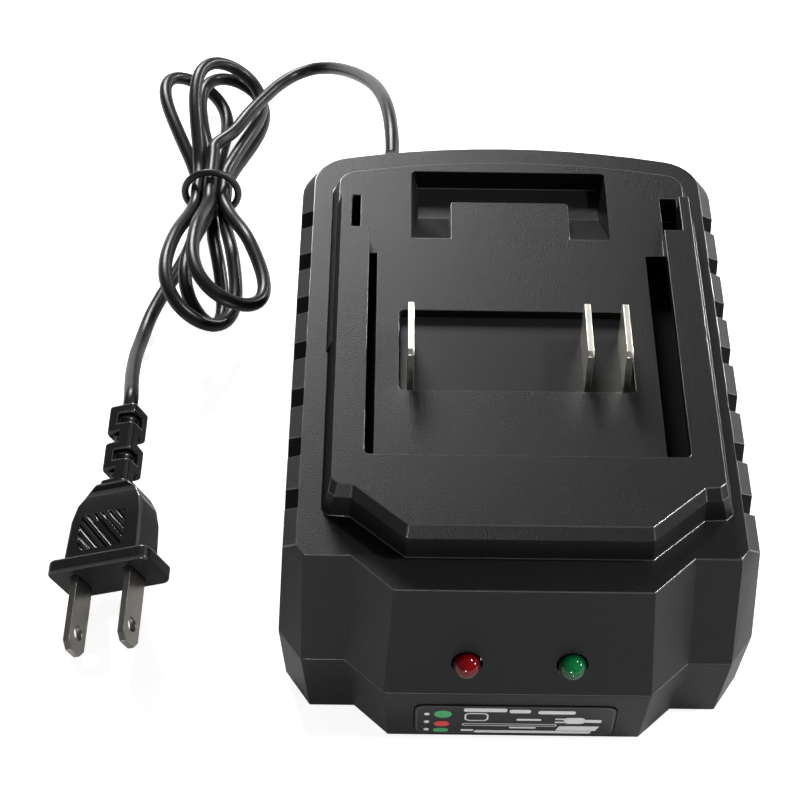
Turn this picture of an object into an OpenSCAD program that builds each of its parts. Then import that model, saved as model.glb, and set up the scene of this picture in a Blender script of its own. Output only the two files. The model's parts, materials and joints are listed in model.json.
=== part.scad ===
// Lithium battery charger: a ribbed desktop housing with a slide-on battery table,
// two indicator lamps and a mains lead put away as a tied hank.
// Origin: middle of the box under the feet. +X right, +Y to the rear, +Z up.

/* [Housing] */
// Half the width of the housing at the waist
case_hw = 47.5; // [46:0.5:52]
// How far the top face is drawn in from the waist on each side
rim_in = 4.1; // [3:0.1:5]
// How far the sides just under the chamfer are drawn in from the waist
shoulder_in = 1.4; // [0:0.1:2]
// How far the bottom is drawn in from the waist on each side
base_in = 0.9; // [0:0.1:2.5]
// Height of the top face above the surface
rim_z = 46; // [44:0.5:52]
// Height of the chamfer round the top face
shoulder_h = 3; // [2:0.25:4]
// Height of the waist, where the two shells part
waist_z = 19; // [16:0.5:22]
// Distance from the middle to the front panel at the waist
front_y = 67; // [66:0.5:75]
// How far the front panel leans back from the waist to the top
front_lean = 4.4; // [3:0.1:6]
// How far the lower band leans back from the waist to the bottom
band_lean = 2.5; // [1.5:0.1:4]
// Distance from the middle to the rear of the top face
rear_y = 66.6; // [64:0.1:72]
// Radius of the bowed rear edge
bow_r = 170; // [150:5:260]
// Radius of the rear corners
corner_r = 9; // [6:0.5:12]
// Wall of both shells
wall = 2.2; // [1.6:0.1:2.6]
// How far the two front corner panels stand back
corner_step = 8.3; // [6:0.1:10]
// Half the width of the middle front panel
panel_hw = 24.6; // [22:0.1:27]

/* [Side ribs] */
// Grooves on each side
groove_n = 7; // [3:1:7]
// Distance from one groove to the next
groove_pitch = 13.65; // [12:0.05:13.7]
// Width of a groove at the top face
groove_w = 4.8; // [3:0.1:6]
// Place of the rearmost groove
groove_y = 41.8; // [40:0.1:43]
// Bottom of the grooves above the waist
groove_floor = 3; // [2:0.5:8]

/* [Battery table] */
// How far the table lies to the right of the middle
table_shift = 1.2; // [0:0.1:1.5]
// Width of the top face beside the table on each side
table_margin = 5.4; // [5:0.1:6]
// Height of the deck above the top face
deck_h = 4; // [3:0.25:6]
// Height of the rails and the front plate above the deck
rail_h = 3.5; // [2.5:0.25:5]
// Distance from the middle to the front of the table
table_front = 53; // [52:0.1:54]
// Distance from the middle to the rear end of the rails
rail_rear = 41.8; // [40:0.1:42.5]
// Distance from the middle to the rear of the low plate behind the deck
plate_rear = 56.6; // [56:0.1:58]
// Width of each rail with its lip
rail_w = 6.2; // [6:0.1:6.8]
// Thickness of the lips over the channels
lip_t = 2.6; // [1.8:0.1:2.6]
// Width of the open channel between a lip and the deck
channel_gap = 2.9; // [2.6:0.1:3.8]
// Rear end of the open channels
channel_rear = 26; // [22:0.5:28]
// Front end of the channels and of the deck
deck_front = 35.2; // [34:0.1:36]
// Depth of the channels below the deck
channel_depth = 7; // [6:0.25:7.5]

/* [Latch recess] */
// Half the width of the recess
latch_hw = 21.6; // [20:0.1:23]
// Rear edge of the recess
latch_rear = 53.3; // [52:0.1:53.6]
// Rear edge of the tongue between the two legs
latch_mid = 43; // [41:0.1:44]
// Front end of the two legs
latch_front = 31; // [30:0.5:33]
// Half the width of the tongue
tongue_hw = 13; // [11:0.1:15]
// Depth of the recess
latch_depth = 5; // [4:0.25:6]

/* [Terminals] */
// Width of the deck beside the terminal pocket on each side
pocket_margin = 4.9; // [4.2:0.1:6]
// Rear edge of the terminal pocket
pocket_rear = 8.6; // [8:0.1:10]
// Front edge of the terminal pocket
pocket_front = -14.6; // [-16:0.1:-14]
// Depth of the pocket below the deck
pocket_depth = 2; // [1:0.1:3]
// Thickness of a terminal blade
blade_t = 1.3; // [0.8:0.1:1.6]
// Length of a terminal blade
blade_len = 15.3; // [13:0.1:17]
// Height of the blades above the deck
blade_h = 9; // [7:0.25:11]
// Front end of the blades
blade_front = -12.8; // [-13.4:0.1:-12]
// Places of the three blades: in from the left end of the pocket, then twice from its right end
blade_ins = [2.4, 9.6, 1.8];

/* [Lamps] */
// Diameter of a lamp
led_d = 5.4; // [3:0.1:6]
// Half the distance between the two lamps
led_x = 10.2; // [8:0.1:13]
// Height of the lamps
led_z = 27; // [25:0.5:31]

/* [Label] */
// Width of the label plate
label_w = 40; // [30:0.5:44]
// Height of the label plate
label_h = 12; // [8:0.25:13]
// Thickness of the label plate
label_t = 0.6; // [0.5:0.05:1]

/* [Feet and screws] */
// Height of the rubber feet
foot_h = 1.2; // [1:0.1:2]
// Diameter of a foot
foot_d = 11; // [8:0.5:14]
// Distance of the case screws from the sides of the housing
post_in = 11.5; // [10.5:0.5:13.5]
// Distance of the feet and case screws from the middle lengthwise
post_y = 44; // [42:0.5:45]
// Shank diameter of the case screws
screw_d = 3; // [2.5:0.1:3.5]
// Outer diameter of a screw post
post_d = 8; // [7:0.5:9]

/* [Circuit board] */
// Distance between the circuit board and the sides of the housing at the waist
board_in = 5.5; // [5:0.5:7.5]
// Length of the circuit board
board_l = 78; // [76:1:79]
// Thickness of the circuit board
board_t = 1.6; // [1:0.1:2]
// Height of the underside of the board
board_z = 8; // [7:0.25:10]

/* [Mains lead] */
// Diameter of the cord
cord_d = 3.3; // [3:0.1:3.5]
// Height of the cord where it leaves the housing
exit_z = 41; // [40:0.25:41.5]
// Place of the cord exit across
exit_x = -26; // [-27:0.25:-25]
// Length of the first hank loop from the waist of the hank
loop_len = 42; // [41:0.5:46]
// Loops at each end of the hank
loop_n = 3; // [3:1:3]

/* [Plug] */
// Distance between the two plug blades
pin_pitch = 12.7; // [12:0.1:13]
// Width of a plug blade
pin_w = 6.35; // [6:0.05:7]
// Thickness of a plug blade
pin_t = 1.5; // [1.2:0.1:1.8]
// Length of the plug blades
pin_len = 16.4; // [15:0.1:16.6]
// Width of the plug flange
flange_w = 24; // [23:0.5:26]
// Height of the plug flange
flange_t = 12; // [11:0.25:12.5]

/* [Hidden] */
$fn = 48;
eps = 0.01;
fit = 0.15;

// Outline of the housing at one level, counter-clockwise from the right front corner.
// v = [half width, front y, corner panel y, panel half width, rear y, corner cut, cut depth]
rear_steps = 7;
bow_steps = 10;
function corner_a(hw, r) = acos((hw - r) / (bow_r - r));
function rear_arc(hw, ry, r) = let (
    a0 = corner_a(hw, r),
    cy = ry - bow_r,
    ccx = hw - r,
    ccy = cy + (bow_r - r) * sin(a0)
  ) concat(
    [for (i = [0:rear_steps]) [ccx + r * cos(a0 * i / rear_steps), ccy + r * sin(a0 * i / rear_steps)]],
    [for (i = [1:bow_steps - 1]) let (a = a0 + (180 - 2 * a0) * i / bow_steps)
      [bow_r * cos(a), cy + bow_r * sin(a)]],
    [for (i = [rear_steps:-1:0]) [-ccx - r * cos(a0 * i / rear_steps), ccy + r * sin(a0 * i / rear_steps)]]);
function outline(hw, fy, py, phw, ry, cut_x, cut_y, r) = let (
    step_x = phw + (fy - py)
  ) concat(
    rear_arc(hw, ry, r),
    [[-hw, -(py - cut_y)], [-(hw - cut_x), -py], [-step_x, -py], [-phw, -fy],
     [phw, -fy], [step_x, -py], [hw - cut_x, -py], [hw, -(py - cut_y)]]);

// Solid between outlines of the same number of points, one for each height
module loft(rings, zs) {
  n = len(rings[0]);
  m = len(rings);
  points = [for (j = [0:m - 1]) for (p = rings[j]) [p[0], p[1], zs[j]]];
  sides = [for (j = [0:m - 2]) for (i = [0:n - 1]) let (k = (i + 1) % n)
    each [[j * n + i, (j + 1) * n + i, (j + 1) * n + k], [j * n + i, (j + 1) * n + k, j * n + k]]];
  polyhedron(points, concat(sides, [[for (i = [0:n - 1]) i]], [[for (i = [n - 1:-1:0]) (m - 1) * n + i]]));
}

// The housing's levels, and what changes from one to the next
RIM = 0;
SHOULDER = 1;
WAIST = 2;
BASE = 3;
rim_front = front_y - front_lean;
shoulder_z = rim_z - shoulder_h;
shoulder_front = rim_front + front_lean * shoulder_h / (rim_z - waist_z);
base_front = front_y - band_lean;
rim_hw = case_hw - rim_in;
level_hw = [rim_hw, case_hw - shoulder_in, case_hw, case_hw - base_in];
level_front = [rim_front, shoulder_front, front_y, base_front];
level_step = [corner_step, corner_step, corner_step - 0.4, corner_step - 1.4];
// How far the middle panel, the rear and the rear corner radius grow past those of the rim
panel_out = [0, 0.2, 1.6, 0.8];
rear_out = [0, 0.3, 0.4, 0.2];
corner_out = [0, 1, 1.4, 1];
// Short upright edge that the top face and the roof end in
rim_edge = 0.2;
// Cut across each front corner
cuts = [[1.7, 2.4], [4, 4.6], [4.8, 7.2], [5.2, 8.2]];
tan_c = tan(22.5);
// Outline of one level, drawn in by the inset g
function ring(k, g) = outline(level_hw[k] - g, level_front[k] - g, level_front[k] - level_step[k] - g,
  panel_hw + panel_out[k] - tan_c * g, rear_y + rear_out[k] - g, cuts[k][0], cuts[k][1],
  corner_r + corner_out[k] - g);

base_z = foot_h;
floor_z = base_z + wall;
roof_z = rim_z - wall;
deck_z = rim_z + deck_h;
top_z = deck_z + rail_h;
lip_z = top_z - lip_t;
channel_z = deck_z - channel_depth;
table_hw = rim_hw - table_margin;
lip_hw = table_hw - rail_w;
deck_hw = lip_hw - channel_gap;
pocket_hw = deck_hw - pocket_margin;
blade_xs = [blade_ins[0] - pocket_hw, pocket_hw - blade_ins[1], pocket_hw - blade_ins[2]];

// Rectangle with round corners, about the middle
module rounded(w, l, r) {
  square([w - 2 * r, l], center = true);
  square([w, l - 2 * r], center = true);
  for (sx = [-1, 1]) for (sy = [-1, 1]) translate([sx * (w / 2 - r), sy * (l / 2 - r)]) circle(r);
}
module box(x0, x1, y0, y1, z0, z1) {
  translate([x0, y0, z0]) cube([x1 - x0, y1 - y0, z1 - z0]);
}

// Battery table: a nose in front, a wing on each side of it, and the rails behind
table_slope = 0.25;
bevel_out = 1.3;
foot_slope = 0.08;
nose_hw = table_hw - 14.9;
wing_run = 10.7;
wing_step = 9.9;
wing_cut = 1.3;
wing_lean = 0.3;
nose_slope = 0.3;
function table_ring(z) = let (
    bevel = min(1, (top_z - z) / lip_t) * bevel_out + max(0, lip_z - z) * foot_slope,
    hw = table_hw + (top_z - z) * table_slope,
    fy = table_front + bevel,
    sy = fy - wing_step,
    cx = nose_hw + bevel * nose_slope,
    right = [[hw, rail_rear], [hw, wing_cut + wing_lean - sy], [hw - wing_cut, wing_lean - sy],
      [cx + wing_run, -sy], [cx, -fy]]
  ) concat([for (p = right) [table_shift - p[0], p[1]]],
    [for (i = [len(right) - 1:-1:0]) [table_shift + right[i][0], right[i][1]]]);
// Low plate that carries on behind the rails
plate_hw = table_hw + 0.2;
plate_x = table_shift / 2;
plate_slope = 0.35;
plate_r = 4;
function plate_ring(z) = let (g = (deck_z - z) * plate_slope)
  concat([for (p = rear_arc(plate_hw + g, plate_rear + g, plate_r)) [p[0] + plate_x, p[1]]],
    [[plate_x - plate_hw - g, 0], [plate_x + plate_hw + g, 0]]);
table_sink = 1;
module table_solid() {
  low = rim_z - table_sink;
  loft([for (z = [low, lip_z, top_z]) table_ring(z)], [low, lip_z, top_z]);
  loft([for (z = [low, deck_z]) plate_ring(z)], [low, deck_z]);
}

// Everything that is open above the deck or cut into it
side_gap = 3;
rail_wall = 2.2;
rail_inner_l = table_shift - table_hw + rail_wall;
rail_inner_r = table_shift + table_hw - rail_wall;
lip_rear = 30.8;
notch_rear = 45;
notch_l = -lip_hw - 1;
notch_r = lip_hw + 1.6;
tub_wall = 1.8;
above = 5;
module bay() {
  corner = 1.2;
  long = deck_front + lip_rear + 2 * corner;
  translate([table_shift, long / 2 - deck_front, deck_z]) linear_extrude(rail_h + above)
    rounded(2 * lip_hw, long, corner);
  box(rail_inner_l, rail_inner_r, lip_rear, rail_rear + above, deck_z, top_z + above);
}
// The channels beside the deck, grown by g on every side for the tubs that hold them
module channel_boxes(g, roof) {
  low = channel_z - g;
  front = -deck_front - g;
  box(rail_inner_l - g, g - deck_hw, front, channel_rear + g, low, roof);
  box(rail_inner_l - g, notch_l + g, front, notch_rear + g, low, roof);
  box(deck_hw - g, rail_inner_r + g, front, channel_rear + g, low, roof);
  box(notch_r - g, rail_inner_r + g, front, notch_rear + g, low, roof);
}
draft = 1.5;
latch_r = 1;
// U-shaped trough for the battery's latch, whose two legs ramp up to the deck
module latch_recess() {
  low = deck_z - latch_depth;
  high = deck_z + eps;
  long = latch_rear - latch_front;
  difference() {
    intersection() {
      rotate([90, 0, 0]) translate([0, 0, -latch_rear]) linear_extrude(long)
        polygon([[-latch_hw, high], [draft - latch_hw, low], [latch_hw - draft, low], [latch_hw, high]]);
      rotate([90, 0, 90]) translate([0, 0, -latch_hw]) linear_extrude(2 * latch_hw)
        polygon([[latch_front, high], [latch_mid, low], [latch_rear, low], [latch_rear, high]]);
      translate([0, latch_rear - long, low - 1]) linear_extrude(latch_depth + 2)
        rounded(2 * latch_hw, 2 * long, latch_r);
    }
    translate([0, latch_mid - long, low - 1]) linear_extrude(latch_depth + 2)
      rounded(2 * tongue_hw, 2 * long, latch_r);
  }
}
module latch_tub() {
  w = tub_wall;
  low = deck_z - latch_depth - w;
  box(-latch_hw - w, latch_hw + w, latch_front - w, latch_rear + w, low, deck_z - eps);
}

// Grooves that leave the ribs on both sides; their walls run back as they go in
groove_run = [4.5, 5];
module grooves() {
  deep = case_hw - rim_hw + 3;
  for (i = [0:groove_n - 1]) let (y = groove_y - i * groove_pitch)
    for (s = [0, 1]) mirror([s, 0, 0])
      translate([0, 0, waist_z + groove_floor]) linear_extrude(rim_z)
        polygon([[rim_hw, y - groove_w / 2], [rim_hw + deep, y - groove_w / 2 + groove_run[0]],
          [rim_hw + deep, y + groove_w / 2 + groove_run[1]], [rim_hw, y + groove_w / 2]]);
}
// Inner wall behind the grooves, so that the shell stays closed
module groove_backs() {
  rear = groove_y + groove_pitch / 2;
  for (s = [0, 1]) mirror([s, 0, 0])
    box(rim_hw - wall, rim_hw + wall, groove_y - groove_n * groove_pitch, rear, waist_z, roof_z);
}

front_a = atan(front_lean / (rim_z - waist_z));
module on_front(x, z) {
  y = -(rim_front + front_lean * (rim_z - z) / (rim_z - waist_z));
  translate([x, y, z]) rotate([90 - front_a, 0, 0]) children();
}
// The lower shell ends in a short upright band at the seam
seam_h = 0.8;
band_top = waist_z - seam_h;
band_a = atan(band_lean / (band_top - base_z));
label_drop = 1.7;
label_z = (base_z + waist_z) / 2 - label_drop;
module on_band(x, z) {
  y = -(front_y - band_lean * (band_top - z) / (band_top - base_z));
  translate([x, y, z]) rotate([90 + band_a, 0, 0]) children();
}
led_hole_d = led_d + 4 * fit;
led_post_d = 4;
post_bore = 14;
post_x = case_hw - post_in;
posts = [for (sx = [-1, 1]) for (sy = [-1, 1]) [sx * post_x, sy * post_y]];
lip_up = 2;
lip_w = 1;

roof_in = wall + 0.4;

module upper_case() color([0.17, 0.17, 0.175]) {
  difference() {
    union() {
      loft([ring(WAIST, 0), ring(SHOULDER, 0), ring(RIM, 0)], [waist_z, shoulder_z, rim_z - rim_edge]);
      translate([0, 0, rim_z - rim_edge]) linear_extrude(rim_edge) polygon(ring(RIM, 0));
      table_solid();
    }
    difference() {
      union() {
        loft([ring(WAIST, wall), ring(SHOULDER, wall), ring(RIM, roof_in)],
          [waist_z - eps, shoulder_z - wall, roof_z - rim_edge]);
        translate([0, 0, roof_z - rim_edge]) linear_extrude(rim_edge) polygon(ring(RIM, roof_in));
      }
      channel_boxes(tub_wall, deck_z);
      latch_tub();
      groove_backs();
      for (p = posts) translate([p[0], p[1], waist_z - 1]) cylinder(d = post_d, h = rim_z - waist_z);
      clamp_bosses();
      for (s = [-1, 1]) on_front(s * led_post_x, led_z)
        translate([0, 0, -led_back]) cylinder(d = led_post_d, h = led_back + 1);
    }
    // Space under the deck, left open down to the cavity
    difference() {
      box(side_gap - deck_hw, deck_hw - side_gap, side_gap - deck_front, latch_front - side_gap,
        roof_z - 1, deck_z - wall);
      channel_boxes(tub_wall, deck_z);
    }
    bay();
    channel_boxes(0, lip_z);
    latch_recess();
    pocket(0, roof_z - 2, deck_z + 1);
    grooves();
    for (s = [-1, 1]) on_front(s * led_x, led_z)
      translate([0, 0, -2 * wall]) cylinder(d = led_hole_d, h = 4 * wall);
    for (p = posts) translate([p[0], p[1], waist_z - 1]) cylinder(d = screw_d + 0.1, h = post_bore);
    translate([exit_x, exit_y - 2 * wall, exit_z]) rotate([-90, 0, 0])
      cylinder(d = grommet_d + 2 * fit, h = 4 * wall);
    clamp_bores();
  }
}

module lower_case() color([0.16, 0.16, 0.165]) {
  difference() {
    union() {
      loft([ring(BASE, 0), ring(WAIST, 0)], [base_z, band_top]);
      translate([0, 0, band_top]) linear_extrude(seam_h) polygon(ring(WAIST, 0));
      // Tongue that locates the upper shell
      translate([0, 0, band_top]) linear_extrude(seam_h + lip_up) polygon(ring(WAIST, wall + fit));
    }
    difference() {
      union() {
        loft([ring(BASE, wall + 0.2), ring(WAIST, wall + fit + lip_w)], [floor_z, band_top]);
        translate([0, 0, band_top]) linear_extrude(seam_h + lip_up + 1)
          polygon(ring(WAIST, wall + fit + lip_w));
      }
      for (p = posts) translate([p[0], p[1], 0]) cylinder(d = post_d, h = waist_z);
      for (p = board_posts) translate([p[0], p[1], 0]) cylinder(d = board_post_d, h = board_z);
    }
    for (p = posts) translate([p[0], p[1], -1]) {
      cylinder(d = screw_d + 0.4, h = waist_z + 2);
      cylinder(d = screw_head_d + 4 * fit, h = screw_seat + 1);
    }
    for (p = board_posts) translate([p[0], p[1], board_z - bore_len])
      cylinder(d = small_bore, h = bore_len + 1);
    for (p = feet) translate([p[0], p[1], base_z - 1]) cylinder(d = foot_d + 2 * fit, h = 1 + foot_sink);
    on_band(0, label_z) translate([0, 0, -label_sink]) linear_extrude(5)
      rounded(label_w + 2 * fit, label_h + 2 * fit, label_r);
    translate([0, 0, base_z - 1]) linear_extrude(1 + plate_sink)
      square([plate_w + 2 * fit, plate_l + 2 * fit], center = true);
    // Vent slots in the floor
    for (i = [0:vent_n - 1]) for (s = [-1, 1])
      translate([(i - (vent_n - 1) / 2) * vent_pitch, s * vent_y, base_z - 1]) linear_extrude(wall + 2)
        square([vent_w, vent_l], center = true);
  }
}
vent_n = 5;
vent_pitch = 7;
vent_y = 42;
vent_w = 2.5;
vent_l = 16;
small_bore = 2.1;
board_post_d = 6;
label_r = 2;
plate_w = 46;
plate_l = 34;
plate_sink = 0.3;
label_sink = 0.4;
module front_label() color([0.2, 0.2, 0.21])
  on_band(0, label_z) translate([0, 0, -label_sink]) linear_extrude(label_t)
    rounded(label_w, label_h, label_r);
module rating_plate() color([0.78, 0.79, 0.8])
  translate([0, 0, base_z - 0.1]) linear_extrude(0.1 + plate_sink) square([plate_w, plate_l], center = true);

foot_sink = 0.8;
foot_edge = 0.6;
foot_off = [-12, 8];
feet = [for (sx = [-1, 1]) for (sy = [-1, 1]) [sx * (post_x + foot_off[0]), sy * (post_y + foot_off[1])]];
module rubber_feet() color([0.1, 0.1, 0.1])
  for (p = feet) translate([p[0], p[1], 0]) {
    cylinder(d1 = foot_d - 2 * foot_edge, d2 = foot_d, h = foot_edge);
    translate([0, 0, foot_edge]) cylinder(d = foot_d, h = foot_h + foot_sink - foot_edge);
  }

screw_head_d = 5.8;
screw_head_h = 2;
screw_seat = 7;
case_screw_len = 20;
drive_w = 0.7;
// Cross-head screw that points up, its head from z 0
module screw(head_d, head_h, d, len) {
  difference() {
    cylinder(d = head_d, h = head_h);
    for (a = [0, 90]) rotate(a) translate([-head_d * 0.3, -drive_w / 2, -1])
      cube([head_d * 0.6, drive_w, 1 + head_h * 0.4]);
  }
  translate([0, 0, head_h - eps]) cylinder(d = d, h = len + eps);
}
module case_screws() color([0.45, 0.45, 0.47])
  for (p = posts) translate([p[0], p[1], screw_seat - screw_head_h])
    screw(screw_head_d, screw_head_h, screw_d, case_screw_len);

// Terminals
block_z = deck_z - pocket_depth;
block_h = 9;
block_low = block_z - block_h;
blade_span = blade_xs[1] - blade_xs[0];
block_core_hw = blade_span / 6;
// Middles of the two cored places, as shares of the way from the first blade to the second
block_cores = [4 / 15, 41 / 60];
block_skin = 2.5;
block_rim = 1.5;
slot_fit = 0.05;
module pocket(g, z0, z1)
  translate([0, (pocket_front + pocket_rear) / 2, z0]) linear_extrude(z1 - z0)
    rounded(2 * (pocket_hw - g), pocket_rear - pocket_front - 2 * g, 1);
module terminal_block() color([0.13, 0.13, 0.14])
  difference() {
    union() {
      pocket(fit, block_low, block_z);
      pocket(-block_rim, deck_z - wall - 2, deck_z - wall);
    }
    for (x = blade_xs) box(x - blade_t / 2 - slot_fit, x + blade_t / 2 + slot_fit,
      blade_front - slot_fit, blade_front + blade_len + slot_fit, block_low - 1, block_z + 1);
    // Cored underside
    for (k = block_cores) let (x = blade_xs[0] + k * blade_span)
      box(x - block_core_hw, x + block_core_hw, pocket_front + 3, pocket_rear - 3,
        block_low - 1, block_z - block_skin);
  }
// Solder tail under a blade: its front and rear edge past the blade's front, and its lower end
tail_at = [4, 7];
tail_z = block_low - 6;
blade_edge = 0.9;
module blade(x) {
  low = block_low - 1;
  high = deck_z + blade_h;
  rear = blade_front + blade_len;
  r = blade_edge;
  translate([x - blade_t / 2, 0, 0]) rotate([90, 0, 90]) linear_extrude(blade_t)
    polygon([[blade_front, low], [blade_front + tail_at[0], low], [blade_front + tail_at[0], tail_z],
      [blade_front + tail_at[1], tail_z], [blade_front + tail_at[1], low], [rear, low],
      [rear, high - r], [rear - r, high], [blade_front + r, high], [blade_front, high - r]]);
}
module blade_positive() color([0.9, 0.88, 0.8]) blade(blade_xs[0]);
module blade_sense() color([0.9, 0.88, 0.8]) blade(blade_xs[1]);
module blade_negative() color([0.9, 0.88, 0.8]) blade(blade_xs[2]);

// Lamps
led_back = 8;
led_post_x = 17;
led_proud = 3;
led_in = 5;
leg_x = 1.27;
leg_d = 0.6;
module led(x) on_front(x, led_z) {
  translate([0, 0, led_proud - led_d / 2]) sphere(d = led_d);
  translate([0, 0, -led_in]) {
    cylinder(d = led_d, h = led_in + led_proud - led_d / 2);
    cylinder(d = led_d + 0.8, h = 1);
  }
  for (s = [-1, 1]) translate([s * leg_x, 0, -led_back - board_t - 1])
    cylinder(d = leg_d, h = led_back - led_in + board_t + 1);
}
module led_red() color([0.75, 0.05, 0.08]) led(-led_x);
module led_green() color([0.05, 0.6, 0.3]) led(led_x);
module led_board() color([0.1, 0.35, 0.2]) on_front(0, led_z) difference() {
  translate([-led_board_w / 2, -led_board_l / 2, -led_back - board_t])
    cube([led_board_w, led_board_l, board_t]);
  for (x = [-led_x, led_x]) for (s = [-leg_x, leg_x])
    translate([x + s, 0, -led_back - 4]) cylinder(d = leg_d + 0.2, h = 6);
}
led_board_w = 40;
led_board_l = 10;

// Circuit board and what it carries. Each part's place is [x, y] on the board and its size [w, l, h]
board_w = 2 * (case_hw - board_in);
board_top = board_z + board_t;
board_inset = [13, 3];
board_posts = [for (sx = [-1, 1]) for (sy = [-1, 1])
  [sx * (board_w / 2 - board_inset[0]), sy * (board_l / 2 - board_inset[1])]];
screw2_d = 2;
screw2_head = [4.4, 1.6];
screw2_bite = 3.4;
module main_board() color([0.12, 0.38, 0.22])
  difference() {
    translate([-board_w / 2, -board_l / 2, board_z]) cube([board_w, board_l, board_t]);
    for (p = board_posts) translate([p[0], p[1], board_z - 1])
      cylinder(d = screw2_d + 4 * fit, h = board_t + 2);
  }
module board_screws() color([0.6, 0.6, 0.62])
  for (p = board_posts) translate([p[0], p[1], board_top + screw2_head[1]]) mirror([0, 0, 1])
    screw(screw2_head[0], screw2_head[1], screw2_d, board_t + screw2_bite);
// Puts a block of the given size on the board, its corner at the given place
module on_board(at, size, lift = 0) translate([at[0], at[1], board_top + lift]) cube(size);

core_at = [0, 11];
core_size = [30, 14, 22];
core_lift = 2;
window = [7, 4];
winding_size = [24, 26, 14];
winding_lift = 6;
limb_w = 11;
module transformer_core() color([0.22, 0.21, 0.2])
  translate([core_at[0], core_at[1], board_top + core_lift]) difference() {
    translate([-core_size[0] / 2, -core_size[1] / 2, 0]) cube(core_size);
    for (s = [-1, 1]) translate([s * (limb_w + window[0]) / 2 - window[0] / 2, -core_size[1], window[1]])
      cube([window[0], 2 * core_size[1], core_size[2] - 2 * window[1]]);
  }
module transformer_winding() color([0.85, 0.75, 0.2])
  translate([core_at[0], core_at[1], board_top]) {
    difference() {
      translate([-winding_size[0] / 2, -winding_size[1] / 2, winding_lift]) cube(winding_size);
      translate([-limb_w / 2 - fit, -core_size[1] / 2, winding_lift - eps])
        cube([limb_w + 2 * fit, core_size[1], winding_size[2] + 2 * eps]);
    }
    for (s = [-1, 1]) translate([-winding_size[0] / 2, s * (winding_size[1] / 2 - 2) - 2, 0])
      cube([winding_size[0], 4, winding_lift + eps]);
  }
// Round can with a stepped top: place and size [d, h]
can_step = [1.6, 0.6];
module can(at, size) translate([at[0], at[1], board_top]) {
  cylinder(d = size[0], h = size[1] - can_step[1]);
  cylinder(d = size[0] - can_step[0], h = size[1]);
}
bulk_at = [14 - board_w / 2, 12];
bulk_size = [16, 27];
module bulk_capacitor() color([0.1, 0.1, 0.3]) can(bulk_at, bulk_size);
output_at = [12 - board_w / 2, -26];
output_size = [10, 20];
output_pitch = 12;
module output_capacitors() color([0.1, 0.25, 0.2])
  for (i = [0, 1]) can([output_at[0], output_at[1] + i * output_pitch], output_size);
choke_at = [board_w / 2 - 21.5, 28.5];
choke_r = 5.2;
choke_size = [6, 8];
module input_choke() color([0.7, 0.4, 0.15])
  translate([choke_at[0], choke_at[1], board_top + choke_size[1] / 2])
    rotate_extrude() translate([choke_r, 0]) square(choke_size, center = true);
x_capacitor_at = [-12, 29];
x_capacitor_size = [18, 8, 14];
module x_capacitor() color([0.85, 0.7, 0.1]) on_board(x_capacitor_at, x_capacitor_size);
y_capacitor_at = [8 - board_w / 2, -2];
y_capacitor_size = [8, 3.5];
module y_capacitor() color([0.15, 0.35, 0.7])
  translate([y_capacitor_at[0], y_capacitor_at[1], board_top]) {
    translate([0, 0, 1 + y_capacitor_size[0] / 2]) rotate([90, 0, 0])
      cylinder(d = y_capacitor_size[0], h = y_capacitor_size[1]);
    for (s = [-2, 2]) translate([s, -y_capacitor_size[1] / 2, 0]) cylinder(d = leg_d, h = 3);
  }
rectifier_at = [board_w / 2 - 11, 15.5];
rectifier_size = [4, 17, 14];
module bridge_rectifier() color([0.12, 0.12, 0.12]) on_board(rectifier_at, rectifier_size);
fuse_at = [4 - board_w / 2, 30];
fuse_size = [5.2, 20];
fuse_clip = [5.2, 2.5];
module fuse() color([0.8, 0.8, 0.78]) translate([fuse_at[0], fuse_at[1], board_top]) {
  translate([0, 0, 0.4 + fuse_size[0] / 2]) rotate([0, 90, 0]) cylinder(d = fuse_size[0], h = fuse_size[1]);
  for (x = [1, fuse_size[1] - fuse_clip[1] - 1]) translate([x, -fuse_clip[0] / 2, 0])
    cube([fuse_clip[1], fuse_clip[0], 2.4]);
}
sink_at = [board_w / 2 - 12, -22];
sink_size = [2, 32, 26];
fin_n = 5;
fin_t = 1.6;
fin_len = 8;
module heat_sink() color([0.7, 0.71, 0.73])
  translate([sink_at[0], sink_at[1], board_top]) linear_extrude(sink_size[2]) {
    square([sink_size[0], sink_size[1]]);
    for (i = [0:fin_n - 1]) translate([0, i * (sink_size[1] - fin_t) / (fin_n - 1)]) square([fin_len, fin_t]);
  }
tab_size = [1.4, 10.2, 16];
chip_size = [3.2, 10.2, 9.5];
transistor_y = 10;
transistor_lift = 5;
leg_pitch = 2.54;
module power_transistor() color([0.14, 0.14, 0.14])
  translate([sink_at[0] - tab_size[0], sink_at[1] + transistor_y, board_top]) {
    translate([0, 0, transistor_lift]) cube(tab_size);
    translate([-chip_size[0], 0, transistor_lift]) cube(chip_size + [eps, 0, 0]);
    for (i = [0:2]) translate([-1.2, 2.2 + i * leg_pitch, 0]) cube([0.6, 0.8, transistor_lift + eps]);
  }
// Package with n legs along each long side
package_l = 6.4;
package_h = 3.4;
package_leg = [0.7, 0.8, 2];
module package(at, w, n) translate([at[0], at[1], board_top]) {
  first = (w - (n - 1) * leg_pitch - package_leg[0]) / 2;
  translate([0, 0, 0.4]) cube([w, package_l, package_h]);
  for (i = [0:n - 1]) for (y = [-package_leg[1], package_l])
    translate([first + i * leg_pitch, y, 0]) cube(package_leg);
}
controller_at = [4, -28];
optocoupler_at = [-3, -16];
module controller_chip() color([0.11, 0.11, 0.12]) package(controller_at, 10, 4);
module optocoupler() color([0.9, 0.9, 0.88]) package(optocoupler_at, 4.8, 2);

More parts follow.
